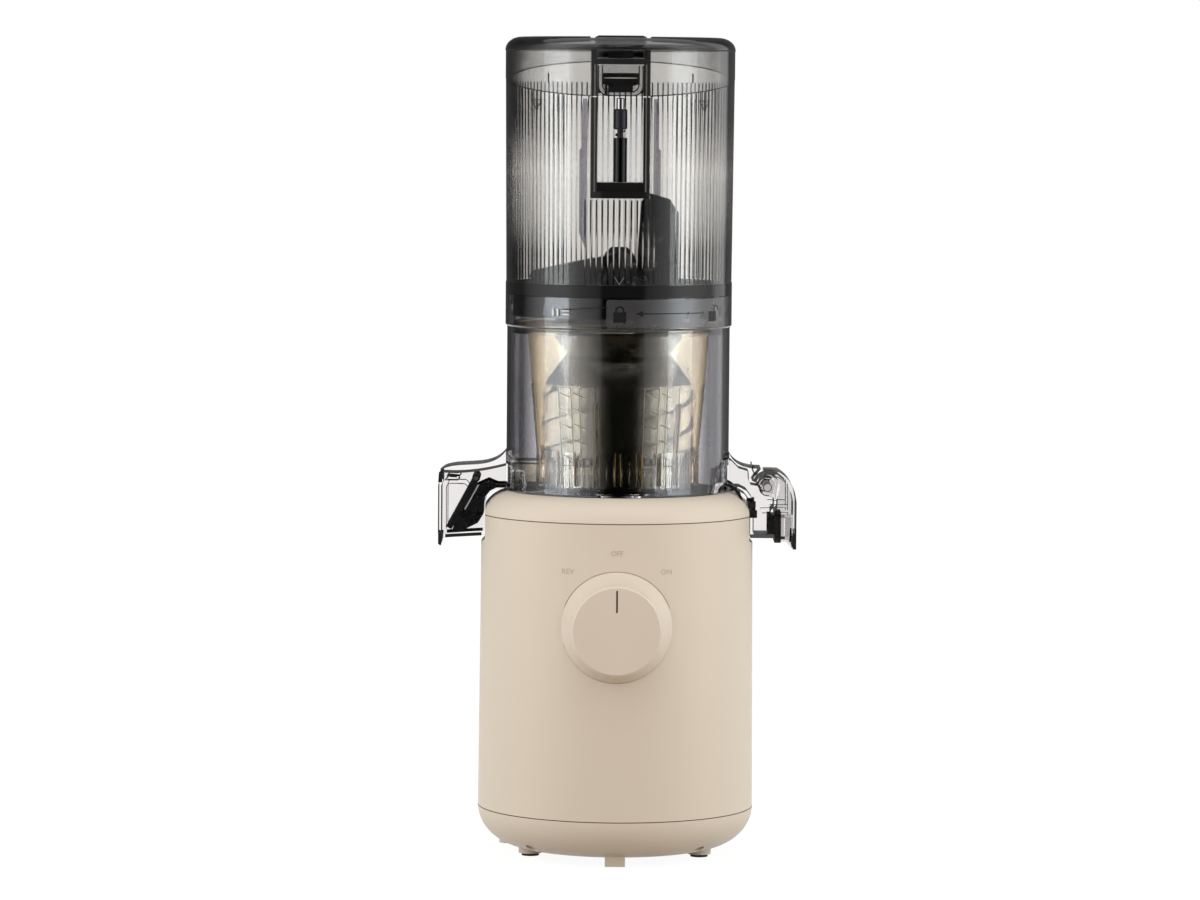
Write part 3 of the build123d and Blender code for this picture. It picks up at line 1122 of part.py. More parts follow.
# ---------------------------------------------------------------- lid
def lid_top():
    def dome(inset):
        wide, tall = LID_EDGE, LID_TOP_Z - LID_Z - inset
        r = LID_R - inset
        curve = EllipticalCenterArc((r - wide, LID_Z), wide, tall, 0, arc_size=90)
        edge = curve + Polyline((r - wide, LID_Z + tall), (0, LID_Z + tall), (0, LID_Z), (r, LID_Z))
        return revolve(Plane.XZ * make_face(edge), Axis.Z)

    lid = dome(0) - dome(LID_WALL)
    for sign in (-1, 1):
        x0 = sign * (STRAP_HALF_W + STRAP_GROOVE / 2)
        lid = lid - block(x0 - STRAP_GROOVE / 2, x0 + STRAP_GROOVE / 2, -FAR, LID_R * 0.76,
                          LID_TOP_Z - STRAP_DEEP, LID_TOP_Z + 1)
    root, low = LID_R - 3.4, LID_Z + 0.4
    arm = end_plate([(root, low), (root, low + 4), (HINGE_Y - 1, HINGE_Z + KNUCKLE_R + 0.8),
                     (HINGE_Y + 2.2, HINGE_Z + KNUCKLE_R - 0.6), (HINGE_Y, HINGE_Z), (HINGE_Y - 2.0, low)],
                    -KNUCKLE_HALF_W, KNUCKLE_HALF_W)
    arm = arm + bar_along_x(KNUCKLE_R, -KNUCKLE_HALF_W, KNUCKLE_HALF_W, HINGE_Y, HINGE_Z)
    return lid + arm - bar_along_x(HINGE_PIN_R + 0.1, -FAR, FAR, HINGE_Y, HINGE_Z)


def lid_skirt():
    skirt = ring(HOPPER_TOP_R, HOPPER_TOP_R - HOPPER_WALL, SPLIT_FRONT_Z - 5, LID_Z - SEAT)
    skirt = skirt - side_of_split(SEAT + 0.1, 0)
    gap = CHANNEL_HALF_W + SEAT
    return skirt - block(-gap, gap, -FAR, -HOPPER_TOP_R / 2, 0, FAR * 3)


def latch_frame():
    half, inner = CHANNEL_HALF_W, CHANNEL_IN_HALF_W
    low, top = SPLIT_FRONT_Z + FREE, LID_Z - SEAT
    frame = block(-half, half, -FAR, CHANNEL_BACK_Y, low, top) & disc(HOPPER_TOP_R, 0, FAR * 3)
    back = CHANNEL_BACK_Y - CHANNEL_BACK_T
    frame = frame - block(-inner, inner, -FAR, back, low - 1, BUTTON_TOP_Z + FREE)
    rail_y = button_front() + BUTTON_T
    side = BUTTON_HALF_W + RAIL_W + FREE
    z0, z1 = rail_levels()
    near, far = rail_y - RAIL_T - FREE, rail_y + BUTTON_TRAVEL + FREE
    return frame - block(-side, side, near, far, z0 - FREE, z1 + FREE)


def rail_levels():
    return SPLIT_FRONT_Z + BUTTON_H / 4, BUTTON_TOP_Z - BUTTON_H / 5


def button_front():
    return -HOPPER_TOP_R + BUTTON_SUNK


def latch_button():
    y0, y1 = button_front(), button_front() + BUTTON_T
    low = SPLIT_FRONT_Z + FREE + 0.1
    half = BUTTON_HALF_W
    body = block(-half, half, y0, y1, low, BUTTON_TOP_Z)
    body = fillet(body.edges().filter_by(Axis.Y).group_by(Axis.Z)[0], BUTTON_CORNER_R)
    body = body & disc(HOPPER_TOP_R - BUTTON_SUNK / 2, 0, FAR * 3)
    z0, z1 = rail_levels()
    rails = block(-half - RAIL_W, half + RAIL_W, y1 - RAIL_T, y1, z0, z1)
    top = BUTTON_TOP_Z - BUTTON_H / 4
    finger = block(-FINGER_W / 2, FINGER_W / 2, y0 - 2, y0 + 1.6, top - FINGER_H, top)
    return body + rails - fillet(finger.edges().filter_by(Axis.Y), 1.6)


def latch_springs():
    y0 = button_front() + BUTTON_T
    y1 = CHANNEL_BACK_Y - CHANNEL_BACK_T
    z = (SPLIT_FRONT_Z + BUTTON_TOP_Z) / 2
    length = y1 - y0 - SPRING_WIRE - 0.2
    path = Helix(length / 3, length, 2.2)
    wire = Pos(2.2, 0) * Rectangle(SPRING_WIRE, SPRING_WIRE)
    coil = sweep(Plane.XZ * wire, path, is_frenet=True)
    return [Pos(x, y1 - SPRING_WIRE / 2 - 0.1, z) * Rot(90, 0, 0) * coil for x in (-6.5, 6.5)]


def hinge_pin():
    return bar_along_x(HINGE_PIN_R, -EAR_OUT, EAR_OUT, HINGE_Y, HINGE_Z)


# ---------------------------------------------------------------- write every piece
def main():
    os.makedirs("parts", exist_ok=True)
    single = [
        base_shell, shoulder_cap, base_pan, cord_gland, knob, switch_shaft, rotary_switch, output_gear,
        drive_shaft, counter_gear, counter_shaft, motor_shaft, cooling_fan, motor_case, motor_end_bell,
        gearbox_plate, gearbox_cover, shaft_seal, control_board, lid_sensor, chamber_bowl, chamber_gasket,
        seat_ring, strainer, auger, auger_wing, juice_spout, juice_cap, juice_cap_seal, juice_mouth_ring,
        pulp_spout, pulp_chute, pulp_flap, pulp_flap_pin, hopper_wall, hopper_ring, latch_channel, rod_sleeve,
        interlock_rod, rod_tip, interlock_spring, lid_top, lid_skirt, latch_frame, latch_button, hinge_pin,
    ]
    groups = [
        rubber_feet, pan_screws, motor_screws, gearbox_screws, output_bearings, counter_bearings, board_parts,
        juice_cap_pins, latch_springs,
    ]
    for make in single:
        save(make.__name__, make())
    for make in groups:
        save(make.__name__, *make())


main()
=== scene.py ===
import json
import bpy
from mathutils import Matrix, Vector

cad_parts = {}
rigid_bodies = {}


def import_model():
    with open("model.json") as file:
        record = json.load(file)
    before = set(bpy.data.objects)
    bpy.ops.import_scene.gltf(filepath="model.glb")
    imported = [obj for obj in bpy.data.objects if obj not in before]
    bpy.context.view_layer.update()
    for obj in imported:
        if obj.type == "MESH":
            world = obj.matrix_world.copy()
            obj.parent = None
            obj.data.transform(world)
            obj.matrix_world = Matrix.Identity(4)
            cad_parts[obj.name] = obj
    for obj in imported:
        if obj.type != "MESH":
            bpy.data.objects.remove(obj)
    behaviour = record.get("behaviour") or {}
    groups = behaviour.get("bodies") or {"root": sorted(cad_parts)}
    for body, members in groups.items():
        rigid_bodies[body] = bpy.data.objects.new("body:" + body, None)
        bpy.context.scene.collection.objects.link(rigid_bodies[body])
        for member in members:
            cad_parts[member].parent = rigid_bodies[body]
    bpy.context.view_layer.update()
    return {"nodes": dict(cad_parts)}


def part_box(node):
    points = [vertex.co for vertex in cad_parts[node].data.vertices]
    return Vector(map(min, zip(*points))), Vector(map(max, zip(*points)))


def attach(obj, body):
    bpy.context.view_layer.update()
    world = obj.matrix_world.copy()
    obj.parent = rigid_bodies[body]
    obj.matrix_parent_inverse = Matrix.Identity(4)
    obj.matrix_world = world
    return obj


bl_info = {
    "name": "Cold press juicer",
    "version": (1, 0, 0),
    "blender": (4, 5, 0),
    "location": "3D View > Sidebar > Juicer",
    "description": "Dresses the juicer's solids with finishes, ribs and marks, and sets the studio",
    "category": "Object",
}

from math import atan, atan2, cos, pi, radians, sin, sqrt

import bmesh
import bpy
from bpy.props import FloatProperty, FloatVectorProperty, IntProperty, PointerProperty
from mathutils import Matrix, Vector

for leftover in list(bpy.data.objects):
    bpy.data.objects.remove(leftover, do_unlink=True)

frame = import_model()
MM = 0.001


# ---------------------------------------------------------------- sizes and colours
def edge_radius(node):
    low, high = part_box(node)
    return (high[0] - low[0]) / 2


def foot_of(node):
    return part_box(node)[0][2]


def top_of(node):
    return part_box(node)[1][2]


def foot_corner(node):
    """X and Z of a node's lower left corner."""
    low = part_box(node)[0]
    return low[0], low[2]


def front_of(node):
    """How far a node reaches to the front, as a radius about Z."""
    return -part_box(node)[0][1]


def length(label, words, default):
    return FloatProperty(
        name=label, description=words, default=default, unit="LENGTH", subtype="DISTANCE", precision=5)


def turn(label, words, degrees):
    return FloatProperty(name=label, description=words, default=radians(degrees), subtype="ANGLE")


def number(label, words, default):
    return IntProperty(name=label, description=words, default=default, min=8, max=240)


def tint(label, words, default):
    return FloatVectorProperty(
        name=label, description=words, default=default, subtype="COLOR", size=3, min=0.0, max=1.0)


FONT_PER_CAPITAL = 1.35  # size of the font against the height of its capitals
CASING_R = edge_radius("base_pan")
CASING_FOOT, CASING_TOP = foot_of("base_shell"), top_of("base_shell")
CASING_TAPER = 0.0012  # how much narrower the casing is at its top than at its foot
CHANNEL_SIDE = 0.0035  # thickness of the latch channel's side walls
CHANNEL_TRAY = 0.0085  # height of the closed tray at the channel's foot
HOPPER_BORE = edge_radius("hopper_ring") - 0.0028  # inside of the hopper's wall at its foot
HOPPER_LEAN = 1.0 / 126.5  # how much the hopper widens with its height
STRAINER_R = edge_radius("auger") + 0.0019  # outside of the strainer below its cone
CONE_RISE = 0.022  # where the strainer's cone starts, above its foot

# how far each kind of mark stands off the surface that it lies on
WORD = 0.00005
PRINT = 0.00006
MOULDED_MARK = 0.00008
LINE = 0.0001
BAR = 0.0002
RAISED_EDGE = 0.0003
SKIN = 0.00001  # how far a line's underside is kept off the plane of its surface


class JuicerSizes(bpy.types.PropertyGroup):
    rib_count: number("Ribs", "Moulded ribs round the hopper", 120)
    rib_width: length("Rib width", "Width of one rib across", 0.0009)
    rib_depth: length("Rib depth", "How far a rib stands off the wall", 0.0004)
    rib_top: length("Rib top", "Height where the ribs end", 0.4255)
    window_from: turn("Window start", "Where the smooth window beside the channel starts", 20.5)
    window_to: turn("Window end", "Where the smooth window beside the channel ends", 28.5)
    split_front: length("Split at the front", "Height of the slanted joint under the lid, front", 0.4175)
    split_rise: length("Split rise", "How much higher the slanted joint is at the back", 0.020)
    letter_height: length("Letter height", "Height of the words round the knob", 0.0029)
    letter_circle: length("Letter circle", "Radius of the circle of words round the knob", 0.0400)
    seam_width: length("Seam width", "Width of the shadow line between two casing pieces", 0.0005)
    slit_width: length("Slit width", "Width of the strainer's slits", 0.0024)
    slit_edge: length("Slit edge", "Width of the bright edge beside a slit", 0.0005)
    strainer_flare: FloatProperty(
        name="Strainer flare", description="How much the strainer's wall leans outwards", default=5.5 / 64)
    slit_count: number("Fine slits", "Fine slits round the foot of the strainer", 66)


class JuicerColours(bpy.types.PropertyGroup):
    ivory: tint("Ivory", "Casing", (0.675, 0.605, 0.502))
    knob: tint("Knob", "Knob", (0.675, 0.602, 0.50))
    smoke: tint("Smoke", "Smoky hopper wall", (0.84, 0.825, 0.805))
    lid: tint("Lid", "Lid disc", (0.28, 0.275, 0.275))
    clear: tint("Clear", "Clear plastic", (0.955, 0.945, 0.965))
    amber: tint("Amber", "Strainer", (0.91, 0.875, 0.75))
    olive: tint("Olive", "Juicing screw", (0.016, 0.016, 0.009))
    band: tint("Band", "Dark ring under the hopper", (0.006, 0.006, 0.006))


# ---------------------------------------------------------------- node building
class Wiring:
    """A short way to add nodes to a tree."""

    def __init__(self, tree):
        self.tree = tree

    def add(self, kind, inputs=None, **settings):
        """A new node with its settings, and with plain values or links on its inputs."""
        node = self.tree.nodes.new(kind)
        for key, value in settings.items():
            setattr(node, key, value)
        for key, value in (inputs or {}).items():
            if isinstance(value, bpy.types.NodeSocket):
                self.link(value, node.inputs[key])
            else:
                node.inputs[key].default_value = value
        return node

    def link(self, a, b):
        self.tree.links.new(a, b)

    def math(self, operation, *values):
        return self.add("ShaderNodeMath", dict(enumerate(values)), operation=operation).outputs[0]

    @classmethod
    def blank(cls, owner):
        """The emptied tree of a material or world."""
        owner.use_nodes = True
        owner.node_tree.nodes.clear()
        return cls(owner.node_tree)

    def seen_directly(self):
        """1 for camera, glossy and transmission rays."""
        rays = self.add("ShaderNodeLightPath").outputs
        mirrored = self.math("MAXIMUM", rays["Is Camera Ray"], rays["Is Glossy Ray"])
        return self.math("MAXIMUM", mirrored, rays["Is Transmission Ray"])

    def mixed(self, share, first, second, kind="Material"):
        """Ends the tree with a mix of two shaders."""
        mix = self.add("ShaderNodeMixShader", {0: share, 1: first.outputs[0], 2: second.outputs[0]})
        self.add("ShaderNodeOutput" + kind, {"Surface": mix.outputs[0]})

    def curve(self, value, stops):
        """A curve of straight runs through (from 0 to 1, level)."""
        node = self.add("ShaderNodeFloatCurve", {"Value": value})
        points = node.mapping.curves[0].points
        while len(points) < len(stops):
            points.new(0.5, 0.5)
        for point, place in zip(points, stops):
            point.location = place
            point.handle_type = "VECTOR"
        node.mapping.update()
        return node.outputs["Value"]


class Finish(Wiring):
    """A material with its principled shader."""

    def __init__(self, name):
        self.material = bpy.data.materials.new(name)
        self.material.use_nodes = True
        super().__init__(self.material.node_tree)
        self.shader = self.tree.nodes["Principled BSDF"]
        self.place = self.add("ShaderNodeTexCoord").outputs["Object"]

    def axis(self, name):
        """The distance from the object's middle plane along X or Y, or the height Z."""
        split = self.add("ShaderNodeSeparateXYZ", {0: self.place})
        return split.outputs[name] if name == "Z" else self.math("ABSOLUTE", split.outputs[name])

    def span(self, value, low, high, start=0.0, end=1.0):
        """Turns low..high into start..end, level outside; low may be the greater."""
        inputs = {"Value": value, "From Min": low, "From Max": high, "To Min": start, "To Max": end}
        return self.add("ShaderNodeMapRange", inputs).outputs["Result"]

    def set(self, **values):
        for key, value in values.items():
            self.shader.inputs[key.replace("_", " ")].default_value = value
        return self

    def noise(self, scale, detail=3.0, stretch=(1, 1, 1)):
        mapping = self.add("ShaderNodeMapping", {"Vector": self.place, "Scale": stretch})
        inputs = {"Vector": mapping.outputs["Vector"], "Scale": scale, "Detail": detail, "Roughness": 0.55}
        return self.add("ShaderNodeTexNoise", inputs).outputs["Fac"]

    def bump(self, value, depth):
        """Adds a relief to the shader's normal, on top of the reliefs before it."""
        bump = self.add("ShaderNodeBump", {"Height": value, "Distance": depth, "Strength": 1.0})
        for before in self.shader.inputs["Normal"].links:
            self.link(before.from_socket, bump.inputs["Normal"])
        self.link(bump.outputs["Normal"], self.shader.inputs["Normal"])

    def tones(self, value, first, second):
        inputs = {"Factor": value, 6: (*first, 1.0), 7: (*second, 1.0)}
        mix = self.add("ShaderNodeMix", inputs, data_type="RGBA")
        self.link(mix.outputs[2], self.shader.inputs["Base Color"])

    def varied_roughness(self, scale, low, high):
        """Spreads the middle of a noise, where nearly all of it lies, over low..high."""
        self.link(self.span(self.noise(scale), 0.3, 0.7, low, high), self.shader.inputs["Roughness"])


def shade(colour, factor):
    return tuple(min(1.0, c * factor) for c in colour)


def ivory_plastic(name, colour):
    """Satin moulded plastic: a faint warm mottling, a spark-eroded grain and soft flow waves."""
    finish = Finish(name).set(IOR=1.46, Specular_IOR_Level=0.42)
    finish.tones(finish.noise(22.0, 2.0), shade(colour, 0.985), shade(colour, 1.015))
    finish.varied_roughness(90.0, 0.36, 0.46)
    finish.bump(finish.noise(2600.0, 2.0), 0.000022)
    finish.bump(finish.noise(420.0, 3.0), 0.000012)
    return finish.material


def black_plastic(name, colour=(0.012, 0.012, 0.013), low=0.22, high=0.36):
    finish = Finish(name).set(IOR=1.5)
    finish.tones(finish.noise(60.0), shade(colour, 0.8), shade(colour, 1.3))
    finish.varied_roughness(140.0, low, high)
    finish.bump(finish.noise(1800.0, 2.0), 0.00001)
    return finish.material


def black_rubber(name):
    finish = Finish(name).set(IOR=1.45, Specular_IOR_Level=0.3)
    finish.tones(finish.noise(80.0), (0.010, 0.010, 0.010), (0.022, 0.021, 0.021))
    finish.varied_roughness(160.0, 0.55, 0.75)
    finish.bump(finish.noise(1400.0, 3.0), 0.00003)
    return finish.material


def see_through(name, colour, edge, stops=((0, 0), (1, 1)), low=0.01, high=0.03, wave=0.000004, solid=None,
                ior=1.49):
    """Clear or tinted moulded plastic.

    colour is how the wall looks square on, edge how it looks along itself, and stops how the one turns
    into the other. On the clear and smoky walls the darker edge is painted shade for the dark that refraction
    shows along a clear wall, with some real darkening from the longer path through a tinted wall; where the
    stops turn back they paint a light band near the edge, a painted highlight. solid gives, from the finish,
    an output that is 1 where the wall is painted black and lets no light through."""
    finish = Finish(name).set(Transmission_Weight=1.0, IOR=ior)
    facing = finish.add("ShaderNodeLayerWeight", {"Blend": 0.5})
    share = finish.curve(facing.outputs["Facing"], stops)
    if solid:
        black = solid(finish)
        share = finish.math("MAXIMUM", share, black)
        finish.link(finish.math("SUBTRACT", 1.0, black), finish.shader.inputs["Transmission Weight"])
    finish.tones(share, colour, edge)
    finish.varied_roughness(35.0, low, high)
    finish.bump(finish.noise(38.0, 2.0, (1, 1, 0.35)), wave)
    return finish.material


def glossy_screw(name, colour):
    """Dark glossy engineering plastic with faint swirl from the mould."""
    finish = Finish(name).set(IOR=1.62, Coat_Weight=0.5, Coat_Roughness=0.06)
    finish.tones(finish.noise(30.0, 4.0, (1, 1, 0.4)), shade(colour, 0.75), shade(colour, 1.4))
    finish.varied_roughness(30.0, 0.14, 0.20)
    finish.bump(finish.noise(90.0, 2.0, (1, 1, 0.1)), 0.000006)
    return finish.material


def bright_metal(name, colour=(0.78, 0.78, 0.80), low=0.12, high=0.24):
    finish = Finish(name).set(Metallic=1.0)
    finish.tones(finish.noise(90.0), shade(colour, 0.9), colour)
    finish.varied_roughness(300.0, low, high)
    finish.bump(finish.noise(900.0, 2.0, (1, 1, 0.05)), 0.000008)
    return finish.material


def moulded(name, colour, low=0.4, high=0.55, metallic=0.0, through=0.0):
    finish = Finish(name).set(Metallic=metallic, Transmission_Weight=through)
    finish.tones(finish.noise(70.0), shade(colour, 0.88), shade(colour, 1.1))
    finish.varied_roughness(120.0, low, high)
    finish.bump(finish.noise(1100.0, 2.0), 0.000015)
    return finish.material


def paint_node(node, material):
    solid = frame["nodes"][node]
    if not solid.material_slots:
        solid.data.materials.append(material)
    for holder in solid.material_slots:
        holder.material = material


# ---------------------------------------------------------------- mesh building
def material_of(name):
    found = bpy.data.materials.get(name)
    if found is None:
        raise RuntimeError(f"the material {name} isn't made yet: run the finishes first")
    return found


def linked(name, data):
    made = bpy.data.objects.new(name, data)
    bpy.context.scene.collection.objects.link(made)
    return made


def piece(name, mesh, material, body, smooth=True):
    """Puts a finished mesh in the scene as a piece that rides on a body."""
    mesh.name = name
    mesh.materials.clear()
    mesh.materials.append(material_of(material))
    if smooth:
        mesh.shade_smooth()
    made = linked(name, mesh)
    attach(made, body)


def marks(name, meshes, material, body):
    """Joins flat marks in one piece with plain edges."""
    piece(name, joined(meshes), material, body, smooth=False)


def mesh_from(vertices, faces):
    mesh = bpy.data.meshes.new("made")
    mesh.from_pydata([tuple(v) for v in vertices], [], faces)
    mesh.validate()
    return mesh


def closed_mesh(vertices, faces):
    """A mesh with its doubles merged and its faces turned outwards."""
    mesh = mesh_from(vertices, faces)
    work = bmesh.new()
    work.from_mesh(mesh)
    bmesh.ops.remove_doubles(work, verts=work.verts, dist=1e-7)
    bmesh.ops.recalc_face_normals(work, faces=work.faces)
    work.to_mesh(mesh)
    work.free()
    return mesh


def ring_faces(rings, n, whole=True):
    """Faces between neighbouring rings of n points, and from the last to the first where it goes round."""
    faces = []
    for i in range(rings if whole else rings - 1):
        j = (i + 1) % rings
        for k in range(n):
            m = (k + 1) % n
            faces.append((i * n + k, j * n + k, j * n + m, i * n + m))
    return faces


def turned_ring(profile, steps=128, start=0.0, sweep=2 * pi):
    """A closed (radius, height) profile turned about Z; a part turn gets its two ends closed."""
    whole = sweep > 2 * pi - 1e-6
    angles = [start + sweep * i / steps for i in range(steps if whole else steps + 1)]
    vertices = [(r * cos(a), r * sin(a), z) for a in angles for r, z in profile]
    n = len(profile)
    faces = ring_faces(len(angles), n, whole)
    if not whole:
        faces += [tuple(range(n)), tuple(reversed(range(steps * n, steps * n + n)))]
    return closed_mesh(vertices, faces)


def joined(meshes):
    work = bmesh.new()
    for mesh in meshes:
        work.from_mesh(mesh)
        bpy.data.meshes.remove(mesh)
    whole = bpy.data.meshes.new("joined")
    work.to_mesh(whole)
    work.free()
    return whole


def thickened(work, wrap, thick):
    """Gives flat faces a thickness and lays them on a surface: wrap(u, v, lift) gives the place."""
    raised = bmesh.ops.extrude_face_region(work, geom=work.faces[:])
    for item in raised["geom"]:
        if isinstance(item, bmesh.types.BMVert):
            item.co.z = thick
    for vertex in work.verts:
        vertex.co = wrap(*vertex.co)
    bmesh.ops.recalc_face_normals(work, faces=work.faces)
    mesh = bpy.data.meshes.new("thickened")
    work.to_mesh(mesh)
    work.free()
    return mesh


def slab(outline, wrap, thick=LINE, split=0.002):
    """A flat outline (u, v), cut in strips that can bend with the surface, and thickened."""
    work = bmesh.new()
    work.faces.new([work.verts.new((u, v, 0.0)) for u, v in outline])
    if split:
        last = max(u for u, _ in outline)
        cut = min(u for u, _ in outline) + split
        while cut < last - 1e-6:
            everything = work.verts[:] + work.edges[:] + work.faces[:]
            bmesh.ops.bisect_plane(work, geom=everything, plane_co=(cut, 0, 0), plane_no=(1, 0, 0))
            cut += split
    return thickened(work, wrap, thick)


def flat_slab(outline, wrap, thick=LINE):
    return slab(outline, wrap, thick, split=0)


def round_front(radius):
    """Wraps (u, v) on an upright cylinder: u runs round from the front to +X, v is the height."""
    def wrap(u, v, lift):
        angle = u / radius
        r = radius + lift
        return (r * sin(angle), -r * cos(angle), v)
    return wrap


def flat_front(y):
    """Lays (u, v) on an upright plane that faces the front."""
    def wrap(u, v, lift):
        return (u, y - lift, v)
    return wrap


def casing_y(x, z, widest=CASING_R):
    """Y of the casing's front at x and height z."""
    radius = widest - CASING_TAPER * (z - CASING_FOOT) / (CASING_TOP - CASING_FOOT)
    return -sqrt(radius ** 2 - x ** 2)


def at(corner, *points):
    """An outline given in millimetres from a corner."""
    return [(corner[0] + u * MM, corner[1] + v * MM) for u, v in points]


def oblong(u0, u1, v0, v1):
    return [(u0, v0), (u1, v0), (u1, v1), (u0, v1)]


def stroke(points, width):
    """The outline of a line of one width through points."""
    left, right = [], []
    last = len(points) - 1
    for i, (x, y) in enumerate(points):
        ahead = Vector(points[min(i + 1, last)]) - Vector((x, y))
        behind = Vector((x, y)) - Vector(points[max(i - 1, 0)])
        run = (ahead.normalized() + behind.normalized()).normalized()
        side = Vector((-run.y, run.x)) * width / 2
        left.append((x + side.x, y + side.y))
        right.append((x - side.x, y - side.y))
    return left + right[::-1]


def arc_points(x, y, radius, start, end, steps=10):
    return [(x + radius * cos(radians(start + (end - start) * i / steps)),
             y + radius * sin(radians(start + (end - start) * i / steps))) for i in range(steps + 1)]


def divided(points, step=0.002):
    """A closed outline with its long runs cut up."""
    cut = []
    for i, (x, y) in enumerate(points):
        ahead = points[(i + 1) % len(points)]
        count = max(1, round(sqrt((ahead[0] - x) ** 2 + (ahead[1] - y) ** 2) / step))
        cut += [(x + (ahead[0] - x) * k / count, y + (ahead[1] - y) * k / count) for k in range(count)]
    return cut


def framed(outline, width, wrap, thick):
    """A closed line of one width just inside an outline, given a thickness and laid on a surface."""
    outline = divided(outline)
    count = len(outline)
    middle = sum((Vector(p) for p in outline), Vector((0, 0))) / count
    inner = []
    for i, (x, y) in enumerate(outline):
        run = (Vector(outline[(i + 1) % count]) - Vector(outline[i - 1])).normalized()
        side = Vector((-run.y, run.x)) * width
        if (middle - Vector((x, y))).dot(side) < 0:
            side = -side
        inner.append((x + side.x, y + side.y))
    rings = [wrap(u, v, lift) for lift in (0.0, thick) for line in (outline, inner) for u, v in line]
    faces = []
    for i in range(count):
        j = (i + 1) % count
        for a, b in ((0, 1), (1, 3), (3, 2), (2, 0)):
            faces.append((a * count + i, a * count + j, b * count + j, b * count + i))
    return closed_mesh(rings, faces)


def rounded_box(u0, u1, v0, v1, corner, steps=5):
    points = arc_points(u1 - corner, v1 - corner, corner, 0, 90, steps)
    points += arc_points(u0 + corner, v1 - corner, corner, 90, 180, steps)
    points += arc_points(u0 + corner, v0 + corner, corner, 180, 270, steps)
    return points + arc_points(u1 - corner, v0 + corner, corner, 270, 360, steps)


def evaluated(holder):
    """The plain mesh that an object gives; the object itself goes."""
    bpy.context.view_layer.update()
    made = bpy.data.meshes.new_from_object(holder.evaluated_get(bpy.context.evaluated_depsgraph_get()))
    holder.modifiers.clear()
    bpy.data.objects.remove(holder, do_unlink=True)
    return made


def letters(text, height, wrap, thick):
    """Plain raised letters, laid on a surface."""
    curve = bpy.data.curves.new("letters", "FONT")
    curve.body = text
    curve.size = height * FONT_PER_CAPITAL
    curve.align_x = "CENTER"
    curve.align_y = "CENTER"
    curve.resolution_u = 3
    flat = evaluated(linked("letters", curve))
    bpy.data.curves.remove(curve)
    work = bmesh.new()
    work.from_mesh(flat)
    bpy.data.meshes.remove(flat)
    bmesh.ops.remove_doubles(work, verts=work.verts, dist=1e-7)
    return thickened(work, wrap, thick)


# ---------------------------------------------------------------- geometry node trees
class Recipe(Wiring):
    """A geometry node tree with named inputs, ending in realised instances and a material."""

    def __init__(self, name):
        super().__init__(bpy.data.node_groups.new(name, "GeometryNodeTree"))
        for side in ("INPUT", "OUTPUT"):
            self.tree.interface.new_socket("Geometry", in_out=side, socket_type="NodeSocketGeometry")
        self.start = self.tree.nodes.new("NodeGroupInput")
        self.values = {}

    def input(self, label, value):
        kind = "NodeSocketInt" if isinstance(value, int) else "NodeSocketFloat"
        socket = self.tree.interface.new_socket(label, in_out="INPUT", socket_type=kind)
        self.values[socket.identifier] = value
        return self.start.outputs[label]

    def vector(self, x=0.0, y=0.0, z=0.0):
        return self.add("ShaderNodeCombineXYZ", {0: x, 1: y, 2: z}).outputs[0]

    def bake(self, name, geometry, material):
        """Ends the tree and returns its result as a plain mesh."""
        realise = self.add("GeometryNodeRealizeInstances", {"Geometry": geometry})
        paint = self.add("GeometryNodeSetMaterial", {
            "Geometry": realise.outputs["Geometry"], "Material": material_of(material)})
        self.add("NodeGroupOutput", {"Geometry": paint.outputs["Geometry"]})
        holder = linked(name + "_holder", bpy.data.meshes.new(name + "_seed"))
        modifier = holder.modifiers.new("recipe", "NODES")
        modifier.node_group = self.tree
        for identifier, value in self.values.items():
            modifier[identifier] = value
        return evaluated(holder)


def bars_round_axis(name, count, radius, z0, width, depth, height, tilt, material, skip=None, sides=8,
                    phase=0.0):
    """Upright rounded bars on a circle, leaned outwards by tilt.

    height is a number, or a function of the recipe and the bar's Y that gives one; skip gives a node
    output that is true where a bar is left out."""
    recipe = Recipe(name + "_recipe")
    ring = recipe.add("GeometryNodeMeshCircle", {
        "Vertices": recipe.input("Count", count), "Radius": recipe.input("Radius", radius)})
    circle = recipe.add("GeometryNodeTransform", {
        "Geometry": ring.outputs["Mesh"], "Rotation": recipe.vector(z=recipe.input("Turn", phase))})
    position = recipe.add("GeometryNodeInputPosition")
    split = recipe.add("ShaderNodeSeparateXYZ", {0: position.outputs[0]})
    x, y = split.outputs[0], split.outputs[1]
    bar = recipe.add("GeometryNodeMeshCylinder", {"Vertices": sides, "Radius": 0.5, "Depth": 1.0})
    stand = recipe.add("GeometryNodeTransform", {"Geometry": bar.outputs["Mesh"], "Translation": (0, 0, 0.5)})
    tall = height(recipe, y) if callable(height) else recipe.input("Height", height)
    inputs = {
        "Points": circle.outputs["Geometry"],
        "Instance": stand.outputs["Geometry"],
        "Scale": recipe.vector(recipe.input("Depth", depth * 2), recipe.input("Width", width), tall),
        "Rotation": recipe.vector(0.0, tilt, recipe.math("ARCTAN2", y, x)),
    }
    if skip:
        stay = recipe.add("FunctionNodeBooleanMath", {0: skip(recipe, x, y)}, operation="NOT")
        inputs["Selection"] = stay.outputs[0]
    place = recipe.add("GeometryNodeInstanceOnPoints", inputs)
    lift = recipe.add("GeometryNodeTransform", {
        "Geometry": place.outputs["Instances"], "Translation": recipe.vector(z=recipe.input("Bottom", z0))})
    return recipe.bake(name, lift.outputs["Geometry"], material)


